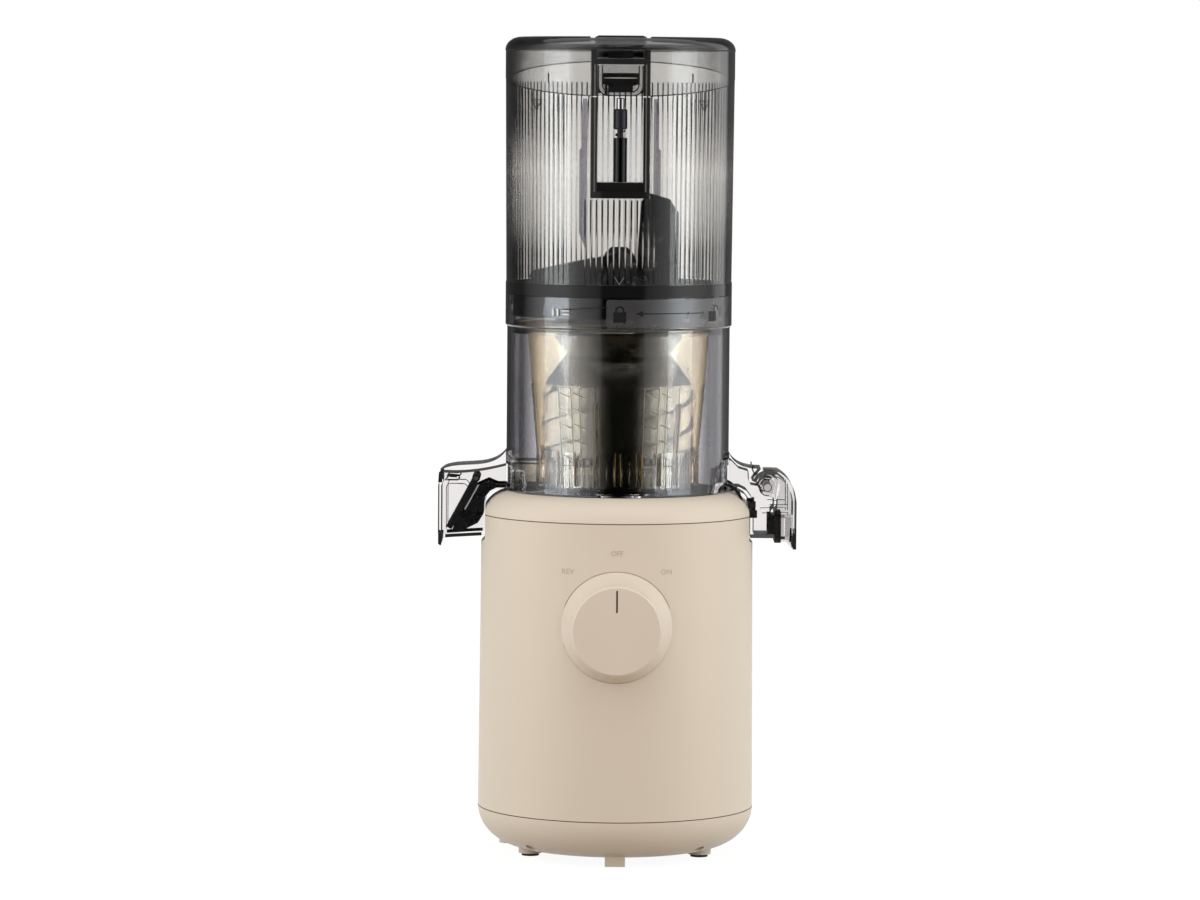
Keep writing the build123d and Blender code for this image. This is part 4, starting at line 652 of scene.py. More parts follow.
# ---------------------------------------------------------------- operators
class JUICER_OT_finishes(bpy.types.Operator):
    """Makes every finish and gives each solid its own"""

    bl_idname = "juicer.finishes"
    bl_label = "Finishes"

    def execute(self, context):
        tones = context.scene.juicer_colours
        # Painted shade: the smoky wall and its ribs darken towards their sides far more than the longer path
        # through the tint gives.
        smoke_edge_shade = ((0, 0), (0.06, 0.04), (0.25, 0.09), (0.4, 0.2), (0.55, 0.42), (0.72, 0.82), (1, 1))
        # Painted shade and a painted highlight: the clear chamber goes dark towards its sides, with a lighter
        # band near each side.
        chamber_edge_shade_and_highlight = ((0, 0), (0.12, 0.03), (0.2, 0.12), (0.26, 0.38), (0.38, 0.72), (0.48, 0.86),
                        (0.57, 0.95), (0.62, 0.92), (0.66, 0.45), (0.72, 0.45), (0.77, 0.95), (1, 1))
        # Painted shade: the clear spouts darken towards their sides.
        spout_edge_shade = ((0, 0), (0.3, 0.05), (0.6, 0.45), (0.8, 0.85), (1, 1))
        amber_fade = ((0, 0), (0.3, 0.05), (0.5, 0.3), (0.75, 0.85), (1, 1))
        # Painted shade: the lid's clear skirt darkens towards its sides.
        skirt_edge_shade = ((0, 0), (0.1, 0.04), (0.3, 0.18), (0.45, 0.48), (0.6, 0.85), (1, 1))
        # Painted highlights: the sleeve is dark square on, with a light line near each side.
        sleeve_highlight_lines = ((0, 0), (0.5, 0), (0.62, 1), (0.74, 1), (0.86, 0.1), (1, 0))
        wall = edge_radius("latch_channel") - CHANNEL_SIDE
        tray = foot_of("latch_channel") + CHANNEL_TRAY
        sharp = 0.0001

        # Painted shade: the side walls of the latch frame and channel are black and opaque, for the dark that
        # refraction gives clear walls seen along themselves.
        def side_walls_painted_dark(finish):
            return finish.span(finish.axis("X"), wall - sharp, wall + sharp)

        # The channel's side walls, painted shade as above, and its tray, painted black.
        def channel_walls_and_tray_painted_dark(finish):
            sides = side_walls_painted_dark(finish)
            return finish.math("MAXIMUM", sides, finish.span(finish.axis("Z"), tray + sharp, tray - sharp))

        bare = set(frame["nodes"])

        def wear(nodes, material):
            for node in nodes.split():
                paint_node(node, material)
                bare.remove(node)

        black, dark = (0.01, 0.01, 0.01), (0.02, 0.02, 0.02)
        wear("base_shell shoulder_cap base_pan", ivory_plastic("ivory_casing", tones.ivory))
        wear("knob", ivory_plastic("ivory_knob", tones.knob))
        wear("hopper_wall", see_through("smoky_wall", tones.smoke, (0.02, 0.019, 0.019), smoke_edge_shade))
        wear("lid_top", see_through("smoky_lid", tones.lid, (0.05, 0.049, 0.05), low=0.03, high=0.07))
        wear("latch_frame", see_through("smoky_frame", (0.55, 0.54, 0.54), black, solid=side_walls_painted_dark))
        wear("latch_button", see_through("smoky_button", (0.74, 0.735, 0.73), black))
        wear("lid_skirt", see_through("clear_skirt", (0.64, 0.63, 0.615), dark, skirt_edge_shade))
        wear("latch_channel", see_through("clear_channel", (0.90, 0.895, 0.885), black, solid=channel_walls_and_tray_painted_dark))
        wear("chamber_bowl", see_through("clear_chamber", tones.clear, (0.010, 0.009, 0.014), chamber_edge_shade_and_highlight))
        wear("juice_spout pulp_spout",
             see_through("clear_spout", (0.92, 0.91, 0.91), (0.03, 0.03, 0.032), spout_edge_shade, ior=1.26))
        wear("juice_cap", see_through("smoky_cap", (0.76, 0.75, 0.75), (0.28, 0.275, 0.275), ior=1.1))
        wear("rod_sleeve", see_through("clear_sleeve", (0.03, 0.03, 0.04), (0.9, 0.9, 0.9), sleeve_highlight_lines))
        wear("strainer", see_through("amber_mesh", tones.amber, (0.68, 0.42, 0.09), amber_fade, 0.02, 0.05))
        wear("hopper_ring", black_plastic("dark_band", tones.band, 0.06, 0.14))
        wear("auger", glossy_screw("olive_screw", tones.olive))
        wear("auger_wing", black_plastic("wing_dark", (0.018, 0.018, 0.019), 0.18, 0.3))
        wear("pulp_chute cord_gland rotary_switch motor_end_bell", black_plastic("black_part"))
        wear("rubber_feet seat_ring chamber_gasket juice_cap_seal juice_mouth_ring pulp_flap shaft_seal",
             black_rubber("soft_black"))
        wear("rod_tip", bright_metal("polished_pin", low=0.05, high=0.12))
        wear("juice_cap_pins", moulded("pin_grey", (0.60, 0.59, 0.585), 0.3, 0.4))
        wear("drive_shaft counter_shaft counter_gear motor_shaft motor_screws gearbox_screws pan_screws "
             "switch_shaft hinge_pin pulp_flap_pin latch_springs",
             bright_metal("plain_steel", (0.56, 0.56, 0.57), 0.25, 0.4))
        wear("interlock_rod interlock_spring", moulded("rod_black", (0.012, 0.012, 0.018), 0.25, 0.35))
        wear("motor_case", bright_metal("motor_can", (0.40, 0.40, 0.42), 0.35, 0.5))
        wear("output_gear cooling_fan", moulded("nylon", (0.70, 0.66, 0.58)))
        wear("gearbox_plate gearbox_cover lid_sensor",
             moulded("filled_plastic", (0.045, 0.045, 0.05), 0.5, 0.7))
        wear("output_bearings counter_bearings",
             moulded("sintered_bronze", (0.45, 0.28, 0.12), 0.35, 0.5, 1.0))
        wear("control_board", moulded("board_green", (0.01, 0.075, 0.03), 0.3, 0.45))
        wear("board_parts", moulded("capacitor", (0.02, 0.02, 0.035), 0.25, 0.4))
        if bare:
            raise RuntimeError(f"these solids have no finish: {sorted(bare)}")
        see_through("smoky_rib", (0.93, 0.925, 0.91), (0.30, 0.295, 0.29), smoke_edge_shade)
        see_through("smoky_plate", (0.50, 0.49, 0.49), dark)
        see_through("streak", (0.38, 0.38, 0.42), dark)
        moulded("label_haze", (0.52, 0.515, 0.525), 0.25, 0.35, through=0.93)
        moulded("seam_shadow", (0.11, 0.075, 0.05), 0.6, 0.8)
        moulded("letter_print", (0.50, 0.42, 0.34), 0.5, 0.6)
        moulded("mark_dark", (0.006, 0.006, 0.006), 0.5, 0.6)
        moulded("mark_grey", (0.12, 0.118, 0.116), 0.4, 0.5)
        moulded("mark_white", (0.80, 0.79, 0.77), 0.4, 0.5)
        moulded("wall_grey", (0.10, 0.098, 0.098), 0.2, 0.3)
        moulded("amber_edge", (0.80, 0.42, 0.08), 0.25, 0.35)
        moulded("amber_line", (0.36, 0.33, 0.24), 0.25, 0.35)
        return {"FINISHED"}


class JUICER_OT_stage(bpy.types.Operator):
    """Floor, white surroundings, soft lamps, reflection wall and the camera"""

    bl_idname = "juicer.stage"
    bl_label = "Studio"

    def execute(self, context):
        scene = context.scene
        self.floor()
        scene.world = self.white_room()
        self.reflection_wall()
        for name, side in (("lamp_left", -1), ("lamp_right", 1)):
            self.lamp(name, azimuth=side * 68, height=0.55, distance=1.25, size=(0.70, 1.1), power=8.8)
        self.lamp("lamp_top", azimuth=0, height=1.7, distance=0.5, size=(1.5, 1.1), power=3.5)
        self.camera(scene)
        scene.view_settings.view_transform = "Standard"
        return {"FINISHED"}

    @staticmethod
    def camera(scene):
        data = bpy.data.cameras.new("camera")
        data.sensor_width = 36.0
        data.lens = 152.54
        data.clip_end = 50.0
        camera = linked("camera", data)
        place, down, roll = (-0.0097, -2.8, 0.4219), 4.066, 0.42
        tip = Matrix.Rotation(radians(90 - down), 4, "X")
        camera.matrix_world = Matrix.Translation(place) @ tip @ Matrix.Rotation(radians(roll), 4, "Z")
        scene.camera = camera

    @staticmethod
    def staged(name, vertices, faces, material, hidden_from=()):
        """Puts a mesh in the scene that belongs to the studio."""
        mesh = mesh_from(vertices, faces)
        mesh.name = name
        mesh.materials.append(material)
        made = linked(name, mesh)
        for kind in hidden_from:
            setattr(made, "visible_" + kind, False)

    def floor(self):
        """White paper under the object, which gives the casing a warm and darker bounce than it shows."""
        front, reach, z = -0.32, 8, -0.0002
        glow_share, glow_level = 0.86, 1.09
        material = bpy.data.materials.new("floor_white")
        wiring = Wiring.blank(material)
        bounce = wiring.add("ShaderNodeMix", {
            "Factor": wiring.add("ShaderNodeLightPath").outputs["Is Diffuse Ray"],
            6: (0.88, 0.88, 0.88, 1), 7: (0.46, 0.40, 0.34, 1)}, data_type="RGBA")
        paper = wiring.add("ShaderNodeBsdfDiffuse", {"Color": bounce.outputs[2]})
        glow = wiring.add("ShaderNodeEmission", {"Strength": glow_level})
        wiring.mixed(wiring.math("MULTIPLY", wiring.seen_directly(), glow_share), paper, glow)
        corners = [(x, y, z) for x, y in oblong(-reach, reach, front, reach)]
        self.staged("floor", corners, [(0, 1, 2, 3)], material)

    def white_room(self):
        world = bpy.data.worlds.new("room")
        wiring = Wiring.blank(world)
        lit = wiring.add("ShaderNodeBackground", {"Color": (1, 0.86, 0.78, 1), "Strength": 0.69})
        white = wiring.add("ShaderNodeBackground", {"Color": (1, 1, 1, 1), "Strength": 1.0})
        wiring.mixed(wiring.seen_directly(), lit, white, "World")
        return world

    def reflection_wall(self):
        """A round wall that only reflections see: dark behind the camera, bright at the sides where the soft
        boxes stand, dark again behind. What lies deep inside the lower clear shells sees it brighter.

        The curves give the brightness against the angle from the front, in degrees."""
        near = ((0, 0.004), (20.5, 0.004), (23.5, 0.12), (45, 0.28), (58, 0.55), (68, 0.60), (90, 0.4),
                (105, 0.2), (118, 0.035), (148, 0.03), (180, 0.03))
        deep = ((0, 0.0), (15, 0.0), (24, 0.02), (36, 0.13), (54, 0.42), (74, 0.8), (95, 1.0), (125, 0.9),
                (150, 0.2), (180, 0.2))
        rim = ((0, 0), (102, 0), (112, 0.45), (128, 0.45), (135, 0.03), (180, 0))
        off_middle = radians(4)
        inner_passes, inner_top = 5.5, 0.21
        outer_glow, inner_glow = 2.5, 9.0
        material = bpy.data.materials.new("reflection_fade")
        wiring = Wiring.blank(material)
        math = wiring.math
        place = wiring.add("ShaderNodeTexCoord").outputs["Object"]
        split = wiring.add("ShaderNodeSeparateXYZ", {0: place}).outputs
        path = wiring.add("ShaderNodeLightPath").outputs
        turn = math("ARCTAN2", split["X"], math("MULTIPLY", split["Y"], -1.0))
        share = math("DIVIDE", math("ABSOLUTE", math("SUBTRACT", turn, off_middle)), pi)

        def along(stops):
            return wiring.curve(share, [(angle / 180, level) for angle, level in stops])

        inside = math("MULTIPLY", math("GREATER_THAN", path["Transmission Depth"], inner_passes),
                      math("LESS_THAN", split["Z"], inner_top))
        right = math("MULTIPLY", along(rim), math("GREATER_THAN", turn, 0.0))
        outer = math("MULTIPLY", math("ADD", along(near), right), outer_glow)
        inner = math("MULTIPLY", along(deep), inner_glow)
        both = wiring.add("ShaderNodeMix", {0: inside, 2: outer, 3: inner}, data_type="FLOAT")
        glow = wiring.add("ShaderNodeEmission", {"Strength": both.outputs[0]})
        mirrored = math("GREATER_THAN", path["Glossy Depth"], 0.5)
        wiring.mixed(mirrored, wiring.add("ShaderNodeBsdfTransparent"), glow)
        radius, foot, top, steps = 1.9, -1.5, 2.4, 96
        vertices = [(radius * sin(2 * pi * i / steps), -radius * cos(2 * pi * i / steps), z)
                    for z in (foot, top) for i in range(steps)]
        faces = [(i, (i + 1) % steps, steps + (i + 1) % steps, steps + i) for i in range(steps)]
        self.staged("reflection_wall", vertices, faces, material,
                    hidden_from=("camera", "diffuse", "volume_scatter", "shadow"))

    @staticmethod
    def lamp(name, azimuth, height, distance, size, power):
        data = bpy.data.lights.new(name, "AREA")
        data.shape = "RECTANGLE"
        data.size, data.size_y = size
        data.energy = power
        data.color = (0.90, 1.0, 1.05)
        lamp = linked(name, data)
        lamp.visible_glossy = False
        angle = radians(azimuth)
        spot = Vector((distance * sin(angle), -distance * cos(angle), height))
        aim = Vector((0, 0, 0.25)) - spot
        lamp.location = spot
        lamp.rotation_euler = aim.to_track_quat("-Z", "Y").to_euler()


class JUICER_OT_ribs(bpy.types.Operator):
    """Moulded ribs inside the hopper wall, with a smooth window each side of the latch channel"""

    bl_idname = "juicer.ribs"
    bl_label = "Hopper ribs"

    def execute(self, context):
        sizes = context.scene.juicer_sizes
        bottom = foot_of("hopper_wall") + 0.0006
        radius = HOPPER_BORE - sizes.rib_depth * 0.3
        skirt = edge_radius("lid_skirt")
        rise = sizes.split_rise / (2 * skirt)

        def tall(recipe, y):
            slant = recipe.math("MULTIPLY_ADD", y, rise, sizes.split_front + rise * skirt - 0.0008)
            top = recipe.math("MINIMUM", slant, recipe.input("Top", sizes.rib_top))
            return recipe.math("SUBTRACT", top, bottom)

        def from_front(recipe, x, y):
            back = recipe.math("MULTIPLY", y, -1.0)
            return recipe.math("ABSOLUTE", recipe.math("ARCTAN2", x, back))

        def in_window(recipe, x, y):
            end = recipe.input("Window end", sizes.window_to)
            return recipe.math("LESS_THAN", from_front(recipe, x, y), end)

        def beside_channel(recipe, x, y):
            start = recipe.input("Window start", sizes.window_from)
            return recipe.math("GREATER_THAN", from_front(recipe, x, y), start)

        under_channel = foot_of("latch_channel") - bottom - 0.001
        for name, height, skip in (("hopper_ribs", tall, in_window),
                                   ("hopper_ribs_front", under_channel, beside_channel)):
            ribs = bars_round_axis(name, sizes.rib_count, radius, bottom, sizes.rib_width, sizes.rib_depth,
                                   height, atan(HOPPER_LEAN), "smoky_rib", skip)
            piece(name, ribs, "smoky_rib", "hopper")
        return {"FINISHED"}


class JUICER_OT_hopper_marks(bpy.types.Operator):
    """Fill marks, the edges of the windows and the turning mark on the hopper"""

    bl_idname = "juicer.hopper_marks"
    bl_label = "Hopper marks"

    def execute(self, context):
        foot = foot_of("hopper_wall")
        wrap = round_front(front_of("latch_frame") + 0.00002)
        fills, streaks = [], []
        tall, reach = 6.4, 4.6
        for side in (-1, 1):
            bar = at((side * 0.0420, foot), (0, 109.2), (0, 114.2))
            fills.append(slab(stroke(bar, 0.0009), wrap, MOULDED_MARK))
            tip = (side * 0.0508, foot + 0.0936)
            fills.append(framed(at(tip, (-reach, tall), (0, 0), (reach, tall)), 0.0005, wrap, MOULDED_MARK))
            for v in (5.2, 4.0, 2.8):
                u = 2.8 * v / tall
                fills.append(slab(stroke(at(tip, (-u, v), (u, v)), 0.0004), wrap, MOULDED_MARK))
            edge = ((18.2, 18.5), (22.4, 28.5), (22.4, 73.0), (21.2, 74.0), (21.2, 94.5), (20.4, 100.5),
                    (18.2, 100.5))
            streaks.append(slab(at((0, foot), *((side * u, v) for u, v in edge)), wrap, PRINT))
        marks("hopper_fill_marks", fills, "mark_dark", "hopper")
        wedge = at((0, foot), (-2.8, 4.5), (0, 0.2), (2.8, 4.5), (2.2, 4.5), (0, 1.1), (-2.2, 4.5))
        wall = round_front(edge_radius("hopper_ring") - 0.00024)
        marks("hopper_turn_mark", [slab(wedge, wall)], "mark_grey", "hopper")
        marks("hopper_window_edges", streaks, "streak", "hopper")
        return {"FINISHED"}


class JUICER_OT_chamber_marks(bpy.types.Operator):
    """Padlocks, turning arrow, strokes and the clear label on the chamber's collar"""

    bl_idname = "juicer.chamber_marks"
    bl_label = "Chamber marks"

    def execute(self, context):
        collar, top = edge_radius("chamber_bowl") + 0.00002, top_of("chamber_bowl")
        wrap = round_front(collar)
        z = top - 0.0081
        middle = (0, z)
        tip, head, tail, wide, thick = 9.0, 13.0, 52.0, 1.6, 0.25
        arrow = at(middle, (tip, 0), (head, wide), (head, thick), (tail, thick), (tail, -thick),
                   (head, -thick), (head, -wide))
        dark = [*self.padlock(wrap, 0.0004, z, True), *self.padlock(wrap, 0.0595, z, False),
                slab(arrow, wrap, PRINT),
                slab(stroke(at(middle, (-32.2, 1.7), (-6.2, 3.4)), 0.0004), wrap, PRINT)]
        marks("chamber_marks", dark, "mark_dark", "chamber")
        white = [slab(stroke(at(middle, (u, -2.0), (u, 2.0)), 0.0008), wrap, MOULDED_MARK)
                 for u in (-38.1, -35.1)]
        white += [slab(stroke(at(middle, (-32.2, v), (-27.8, v)), 0.0006), wrap, MOULDED_MARK)
                  for v in (-0.9, 1.1)]
        marks("chamber_strokes", white, "mark_white", "chamber")
        label = rounded_box(-0.0068, 0.0655, foot_of("hopper_ring") - 0.0045, top - 0.0006, 0.0012, 4)
        marks("collar_label", [slab(label, round_front(collar - 0.00005), 0.00004)], "label_haze", "chamber")
        return {"FINISHED"}

    @staticmethod
    def padlock(wrap, u, z, closed):
        shoulder = z + 0.0008
        body = oblong(u - 0.0034, u + 0.0034, z - 0.0048, shoulder)
        x = u if closed else u + 0.0034
        outer, inner, bend = 0.0025, 0.0016, z + 0.0016
        bow = arc_points(x, bend, outer, 0, 180) + [(x - outer, shoulder), (x - inner, shoulder)]
        bow += arc_points(x, bend, inner, 180, 0) + [(x + inner, shoulder), (x + outer, shoulder)]
        return slab(body, wrap, PRINT), flat_slab(bow, wrap, PRINT)


class JUICER_OT_knob_marks(bpy.types.Operator):
    """Words round the knob and the line in its pointer groove"""

    bl_idname = "juicer.knob_marks"
    bl_label = "Knob marks"

    def execute(self, context):
        sizes = context.scene.juicer_sizes
        low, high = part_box("knob")
        middle = (low[2] + high[2]) / 2
        words = []
        for text, turn in (("REV", -41.8), ("OFF", 0.0), ("ON", 41.6)):
            x0 = sizes.letter_circle * sin(radians(turn))
            z0 = middle + sizes.letter_circle * cos(radians(turn))

            def on_casing(u, v, lift, x0=x0, z0=z0):
                x, z = x0 + u, z0 + v
                return (x, casing_y(x, z) - 0.00002 - lift, z)

            words.append(letters(text, sizes.letter_height, on_casing, WORD))
        marks("switch_words", words, "letter_print", "base")
        groove = flat_front(low[1] + 0.00087)
        line = oblong(-0.00042, 0.00042, middle + 0.0101, middle + 0.0222)
        marks("pointer_line", [flat_slab(line, groove, WORD)], "seam_shadow", "knob")
        return {"FINISHED"}


class JUICER_OT_seams(bpy.types.Operator):
    """Shadow lines where the casing pieces meet"""

    bl_idname = "juicer.seams"
    bl_label = "Casing seams"

    def execute(self, context):
        half = context.scene.juicer_sizes.seam_width / 2

        def shadow(radius, z, *turn):
            return turned_ring(oblong(radius - 0.001, radius + 0.00004, z - half, z + half), *turn)

        piece("pan_seam", shadow(CASING_R, top_of("base_pan"), 180), "seam_shadow", "base")
        radius, flat = -casing_y(0.0, CASING_TOP), edge_radius("shoulder_cap")
        edge = atan2(sqrt(radius ** 2 - flat ** 2), flat)
        arcs = [shadow(radius, CASING_TOP, 96, start + edge, pi - 2 * edge) for start in (0.0, -pi)]
        piece("shoulder_seam", joined(arcs), "seam_shadow", "base")
        return {"FINISHED"}


class JUICER_OT_strainer_slits(bpy.types.Operator):
    """Fine slits at the strainer's foot, and bright edges of its wide slits at the foot and up the cone"""

    bl_idname = "juicer.strainer_slits"
    bl_label = "Strainer slits"

    def execute(self, context):
        sizes = context.scene.juicer_sizes
        foot = foot_of("strainer")
        slits = bars_round_axis(
            "strainer_slit_frames", sizes.slit_count, STRAINER_R, z0=foot + 0.0025, width=0.0007, depth=0.0003,
            height=0.0165, tilt=0.0, material="amber_mesh", sides=6)
        piece("strainer_slit_frames", slits, "amber_mesh", "chamber")
        turn = atan2((sizes.slit_width + sizes.slit_edge) / 2, STRAINER_R)
        lean = atan(sizes.strainer_flare)
        parts = []
        for side in (-1, 1):
            for count, inset, rise, height, tilt, first in (
                    (24, 0.0006, 0.0040, 0.018, 0.0, 0.0),
                    (6, 0.0005, 0.0225, 0.026, lean, radians(15))):
                parts.append(bars_round_axis(
                    "slit_edge", count, STRAINER_R - inset, foot + rise, sizes.slit_edge, 0.0007, height,
                    tilt, "amber_edge", self.port, sides=4, phase=side * turn + first))
        piece("slit_edges", joined(parts), "amber_edge", "chamber")
        return {"FINISHED"}

    @staticmethod
    def port(recipe, x, y):
        """True in front of the pulp port."""
        return recipe.math("LESS_THAN", x, -0.040)


class JUICER_OT_strainer_frames(bpy.types.Operator):
    """Raised frames with slanted teeth round the strainer's wall"""

    bl_idname = "juicer.strainer_frames"
    bl_label = "Strainer frames"

    def execute(self, context):
        flare = context.scene.juicer_sizes.strainer_flare
        foot = foot_of("strainer")

        def on_wall(turn):
            def wrap(u, v, lift):
                r = STRAINER_R + max(0.0, v - foot - CONE_RISE) * flare + lift
                angle = u / STRAINER_R + turn
                return (r * sin(angle), -r * cos(angle), v)
            return wrap

        frames = []
        for k in range(6):
            for turn, u in ((-21.0, -7.2), (22.5, -3.0)):
                wrap = on_wall(radians(turn + 60 * k))
                edge = rounded_box(-0.0042, 0.0042, foot + 0.0145, foot + 0.0580, 0.0012, 3)
                frames.append(framed(edge, 0.0004, wrap, RAISED_EDGE))
                for i in range(5):
                    tooth = at((0, foot), (u, 20.7 + 8.5 * i), (u + 6.2, 18.3 + 8.5 * i))
                    frames.append(slab(stroke(tooth, 0.0004), wrap, RAISED_EDGE))
        marks("strainer_frames", frames, "amber_line", "chamber")
        return {"FINISHED"}


class JUICER_OT_latch_trim(bpy.types.Operator):
    """Outlines, recess and rails of the lid latch and its channel"""

    bl_idname = "juicer.latch_trim"
    bl_label = "Latch trim"

    def execute(self, context):
        half = edge_radius("latch_channel") - CHANNEL_SIDE - 0.0004
        self.button_trim(half)
        self.frame_trim()
        self.channel_trim(half)
        return {"FINISHED"}

    @staticmethod
    def button_trim(half):
        low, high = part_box("latch_button")
        z0, z1 = low[2] + 0.0002, high[2] - 0.0002
        wrap = round_front(-low[1] + 0.0005)
        # Painted shade: two dark U-shaped lines stand for the dark that refraction gives the edges of the
        # button's clear shield.
        shields = []
        for inset in (0.0, 0.0021):
            corner = 0.0054 - inset * 0.6
            u, v = half - inset, z0 + inset
            edge = [(-u, z1), *arc_points(-u + corner, v + corner, corner, 180, 270),
                    *arc_points(u - corner, v + corner, corner, 270, 360), (u, z1)]
            shields.append(slab(stroke(edge, 0.0006), wrap, 0.00025))
        marks("latch_button_outline", shields, "mark_dark", "latch")
        # Painted shade: a dark T-shaped sheet sunk in the button where its recess lies in shade.
        corner = (0, z1 - 0.0040)
        wide, narrow, step, deep = 9.7, 6.6, -6.2, -10.0
        recess = at(corner, (-wide, 0), (wide, 0), (wide, step), (narrow, step), (narrow, deep),
                    (-narrow, deep), (-narrow, step), (-wide, step))
        recess = flat_slab(recess, flat_front(low[1] + 0.0019), BAR)
        marks("latch_button_recess", [recess], "mark_dark", "latch")
        # Painted highlight: a thin white line across the button, as a glint on its shield.
        line = flat_slab(at(corner, *oblong(-8.8, 8.8, -2.8, -2.5)), flat_front(low[1] + 0.0016))
        marks("latch_button_glint_line", [line], "mark_white", "latch")

    @staticmethod
    def frame_trim():
        low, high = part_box("latch_frame")
        z = top_of("latch_button")
        bar = oblong(-0.0147, 0.0147, z + 0.0004, z + 0.0034)
        middle = oblong(-0.0066, 0.0066, z + 0.0037, high[2] - 0.0004)
        rows = [slab(bar, round_front(-low[1] + SKIN), BAR),
                flat_slab(middle, flat_front(low[1] + 0.004), BAR)]
        marks("latch_frame_bar", rows, "mark_dark", "lid")

    @staticmethod
    def channel_trim(half):
        middle, wide = half + CHANNEL_SIDE / 2 + 0.0002, 0.0004
        for name, node, body, foot, top in (("channel_rails", "latch_channel", "hopper", 0.0035, 0.0),
                                            ("frame_rails", "latch_frame", "lid", 0.0, 0.0065)):
            wrap = round_front(front_of(node) + SKIN)
            z0, z1 = foot_of(node) + foot, top_of(node) - top
            rails = [slab(oblong(u - wide, u + wide, z0, z1), wrap) for u in (-middle, middle)]
            marks(name, rails, "wall_grey", body)
        z = foot_of("latch_channel")
        floor = rounded_box(-0.0128, 0.0128, z + 0.0034, z + 0.0072, 0.0012, 4)
        marks("channel_floor", [slab(floor, round_front(front_of("latch_channel") - 0.0023))], "mark_grey",
              "hopper")


class JUICER_OT_lid_trim(bpy.types.Operator):
    """The raised strap over the lid's front edge and the shadow line under the lid"""

    bl_idname = "juicer.lid_trim"
    bl_label = "Lid trim"

    def execute(self, context):
        low, top = top_of("latch_frame"), top_of("lid_top")
        r = edge_radius("lid_top")
        corner, proud = 0.009, 0.0005

        def bend(grow, degrees):
            wide, tall = corner + grow, top - low + grow
            return [(r - corner + wide * cos(radians(a)), low + tall * sin(radians(a))) for a in degrees]

        back, start = r - corner - 0.012, low + 0.0004
        profile = [(r + proud, start), *bend(proud, range(10, 91, 10)), (back, top + proud),
                   (back, top - proud), *bend(-proud, range(90, 9, -10)), (r - proud, start)]
        reach = 0.0141 / r
        strap = turned_ring(profile, 16, -pi / 2 - reach, 2 * reach)
        piece("lid_strap", strap, "smoky_plate", "lid", smooth=False)
        edge = turned_ring(oblong(r - 0.0004, r + 0.0001, low - 0.0003, low + 0.0002), 160)
        piece("lid_shadow_line", edge, "mark_dark", "lid")
        return {"FINISHED"}


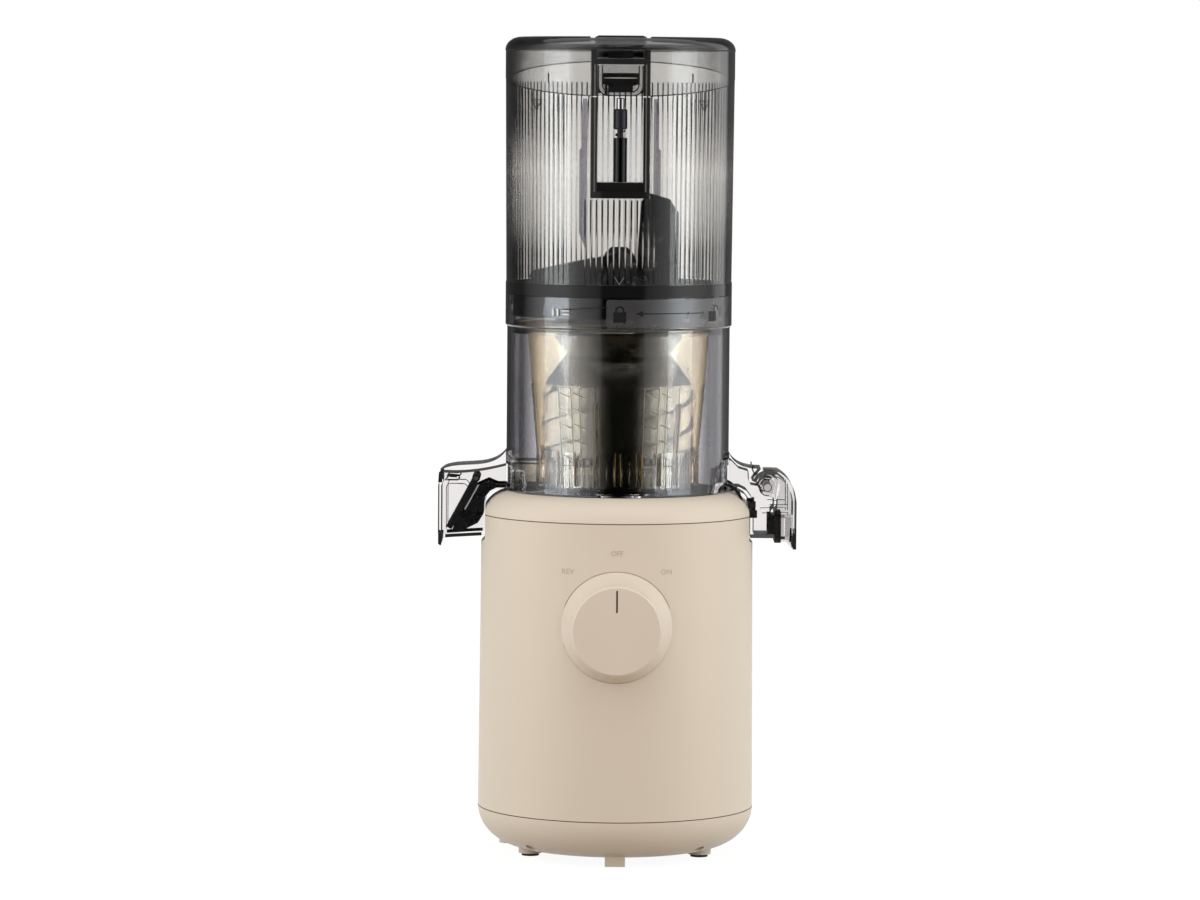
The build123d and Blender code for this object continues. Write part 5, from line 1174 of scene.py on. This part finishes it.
class JUICER_OT_spout_trim(bpy.types.Operator):
    """Outlines, ledges and small blocks of the two spouts"""

    bl_idname = "juicer.spout_trim"
    bl_label = "Spout trim"

    def execute(self, context):
        for side, name in ((1, "front"), (-1, "back")):
            self.pulp_side(side, name)
            self.juice_spout(side, name)
            self.juice_cap(side, name)
        return {"FINISHED"}

    @staticmethod
    def on_side(node, sunk, side):
        """Lays (u, v) on a node's front, or on its back where side is -1, sunk below its outermost plane."""
        y = -front_of(node) + sunk

        def wrap(u, v, lift):
            return (u, side * (y - lift), v)
        return wrap

    def pulp_side(self, side, name):
        x, z = corner = foot_corner("pulp_spout")
        wrap = self.on_side("pulp_spout", SKIN, side)
        window = at(corner, (3.4, 35.8), (11.0, 35.8), (12.2, 37.2), (11.6, 39.2), (6.2, 39.6))
        parts = [framed(window, 0.0008, wrap, LINE)]
        for ledge in (((0, 34.7), (2.2, 34.7), (2.6, 41.0), (0.4, 40.4)),
                      ((6.2, 37.6), (10.6, 37.5), (9.8, 39.0), (7.2, 39.3)),
                      ((4.0, 4.4), (24.0, 5.6), (24.0, 7.4), (4.0, 6.2)),
                      ((0.1, 0.6), (1.8, 0.4), (2.3, 5.8), (0.1, 6.4))):
            parts.append(flat_slab(at(corner, *ledge), wrap))
        panel = [*at(corner, (4.6, 9.2), (4.6, 30.2)),
                 *arc_points(x + 0.0070, z + 0.0318, 0.0024, 180, 90, 5),
                 *at(corner, (13.5, 34.2)),
                 *arc_points(x + 0.0135, z + 0.0312, 0.0030, 90, 0, 5)]
        parts.append(flat_slab(stroke(panel, 0.0004), wrap))
        marks("pulp_spout_lines_" + name, parts, "mark_dark", "chamber")
        # A raised rib on the black flap, coloured light grey: a painted highlight along the rib.
        rib = flat_slab(stroke(at(corner, (22.2, 33.4), (14.7, 19.7)), 0.0007),
                        self.on_side("pulp_flap", SKIN, side), RAISED_EDGE)
        marks("pulp_flap_rib_highlight_" + name, [rib], "pin_grey", "pulp_flap")

    def juice_spout(self, side, name):
        x, z = corner = foot_corner("juice_spout")
        wrap = self.on_side("juice_spout", 0.0003, side)
        parts = []
        for edge in (((12.85, 40.0), (12.85, 37.7), (14.15, 34.6)),
                     ((15.25, 30.6), (15.45, 29.7), (17.45, 26.2), (18.65, 25.2))):
            parts.append(flat_slab(stroke(at(corner, *edge), 0.0007), wrap))
        for block in ((10.45, 14.75, 16.5, 20.3), (10.85, 15.55, 11.1, 15.4)):
            parts.append(flat_slab(at(corner, *oblong(*block)), wrap))
        seat = (x - 0.00535, z + 0.0175)
        parts.append(flat_slab(arc_points(*seat, 0.0134, 4, 74) + arc_points(*seat, 0.0118, 74, 4), wrap))
        marks("juice_spout_lines_" + name, parts, "mark_dark", "chamber")

    def juice_cap(self, side, name):
        low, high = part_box("juice_cap")
        end = (high[0], low[2])
        wrap = self.on_side("juice_cap", SKIN, side)
        pin_low, pin_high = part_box("juice_cap_pins")
        pin = (pin_low[0] + pin_high[0]) / 2, (pin_low[2] + pin_high[2]) / 2
        x = (pin[0] - end[0]) / MM
        parts = [flat_slab(stroke(arc_points(*pin, 0.0022, 0, 358, 24), 0.0004), wrap),
                 flat_slab(stroke(arc_points(*pin, 0.0045, 70, 280, 24), 0.0005), wrap)]
        for line in (((-5.2, 36.4), (-5.0, 28.5), (-5.0, 21.7)),
                     ((x, 40.0), (-10.0, 39.8), (-6.0, 36.8)),
                     ((x + 1.0, 24.7), (-5.0, 24.7)),
                     ((x - 3.0, 20.1), (-5.0, 20.5), (-4.8, 19.0))):
            parts.append(flat_slab(stroke(at(end, *line), 0.0004), wrap))
        parts.append(flat_slab(at(end, (-2.7, 1.2), (-0.1, 1.2), (-0.1, 9.0), (-2.2, 9.0)), wrap))
        marks("juice_cap_lines_" + name, parts, "mark_dark", "juice_cap")


class JUICER_OT_gap_rings(bpy.types.Operator):
    """The sleeve in the knob's pocket and the lip round the strainer's flange"""

    bl_idname = "juicer.gap_rings"
    bl_label = "Gap rings"

    def execute(self, context):
        low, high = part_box("knob")
        middle, flank, casing = (low[2] + high[2]) / 2, edge_radius("knob"), edge_radius("base_shell")
        steps, vertices = 128, []
        profile = ((0.00012, 0.0030), (0.00012, 0.0003), (0.00045, 0.0003), (0.00045, 0.0030))
        for i in range(steps):
            turn = 2 * pi * i / steps
            for gap, deep in profile:
                x, z = (flank + gap) * cos(turn), middle + (flank + gap) * sin(turn)
                vertices.append((x, casing_y(x, z, casing) + deep, z))
        sleeve = closed_mesh(vertices, ring_faces(steps, len(profile)))
        piece("knob_sleeve", sleeve, "ivory_casing", "base")
        rim = (edge_radius("strainer"), top_of("strainer"))
        lip = turned_ring(at(rim, (-1.6, -0.6), (-0.2, -0.6), (-0.2, 3.8), (-0.8, 4.4), (-1.6, 3.8)))
        piece("strainer_lip", lip, "amber_mesh", "chamber")
        return {"FINISHED"}


class JUICER_PT_panel(bpy.types.Panel):
    bl_label = "Juicer"
    bl_idname = "JUICER_PT_panel"
    bl_space_type = "VIEW_3D"
    bl_region_type = "UI"
    bl_category = "Juicer"

    def draw(self, context):
        column = self.layout.column()
        for operator in OPERATORS:
            column.operator(operator.bl_idname)
        for group in (context.scene.juicer_sizes, context.scene.juicer_colours):
            for name in group.__annotations__:
                column.prop(group, name)


OPERATORS = (
    JUICER_OT_stage,
    JUICER_OT_finishes,
    JUICER_OT_ribs,
    JUICER_OT_hopper_marks,
    JUICER_OT_chamber_marks,
    JUICER_OT_knob_marks,
    JUICER_OT_seams,
    JUICER_OT_strainer_slits,
    JUICER_OT_strainer_frames,
    JUICER_OT_latch_trim,
    JUICER_OT_lid_trim,
    JUICER_OT_spout_trim,
    JUICER_OT_gap_rings,
)
CLASSES = (JuicerSizes, JuicerColours, *OPERATORS, JUICER_PT_panel)


def register():
    for kind in CLASSES:
        bpy.utils.register_class(kind)
    bpy.types.Scene.juicer_sizes = PointerProperty(type=JuicerSizes)
    bpy.types.Scene.juicer_colours = PointerProperty(type=JuicerColours)


def unregister():
    del bpy.types.Scene.juicer_colours
    del bpy.types.Scene.juicer_sizes
    for kind in reversed(CLASSES):
        bpy.utils.unregister_class(kind)


def main():
    register()
    for operator in OPERATORS:
        group, name = operator.bl_idname.split(".")
        getattr(getattr(bpy.ops, group), name)()


if __name__ == "__main__":
    main()
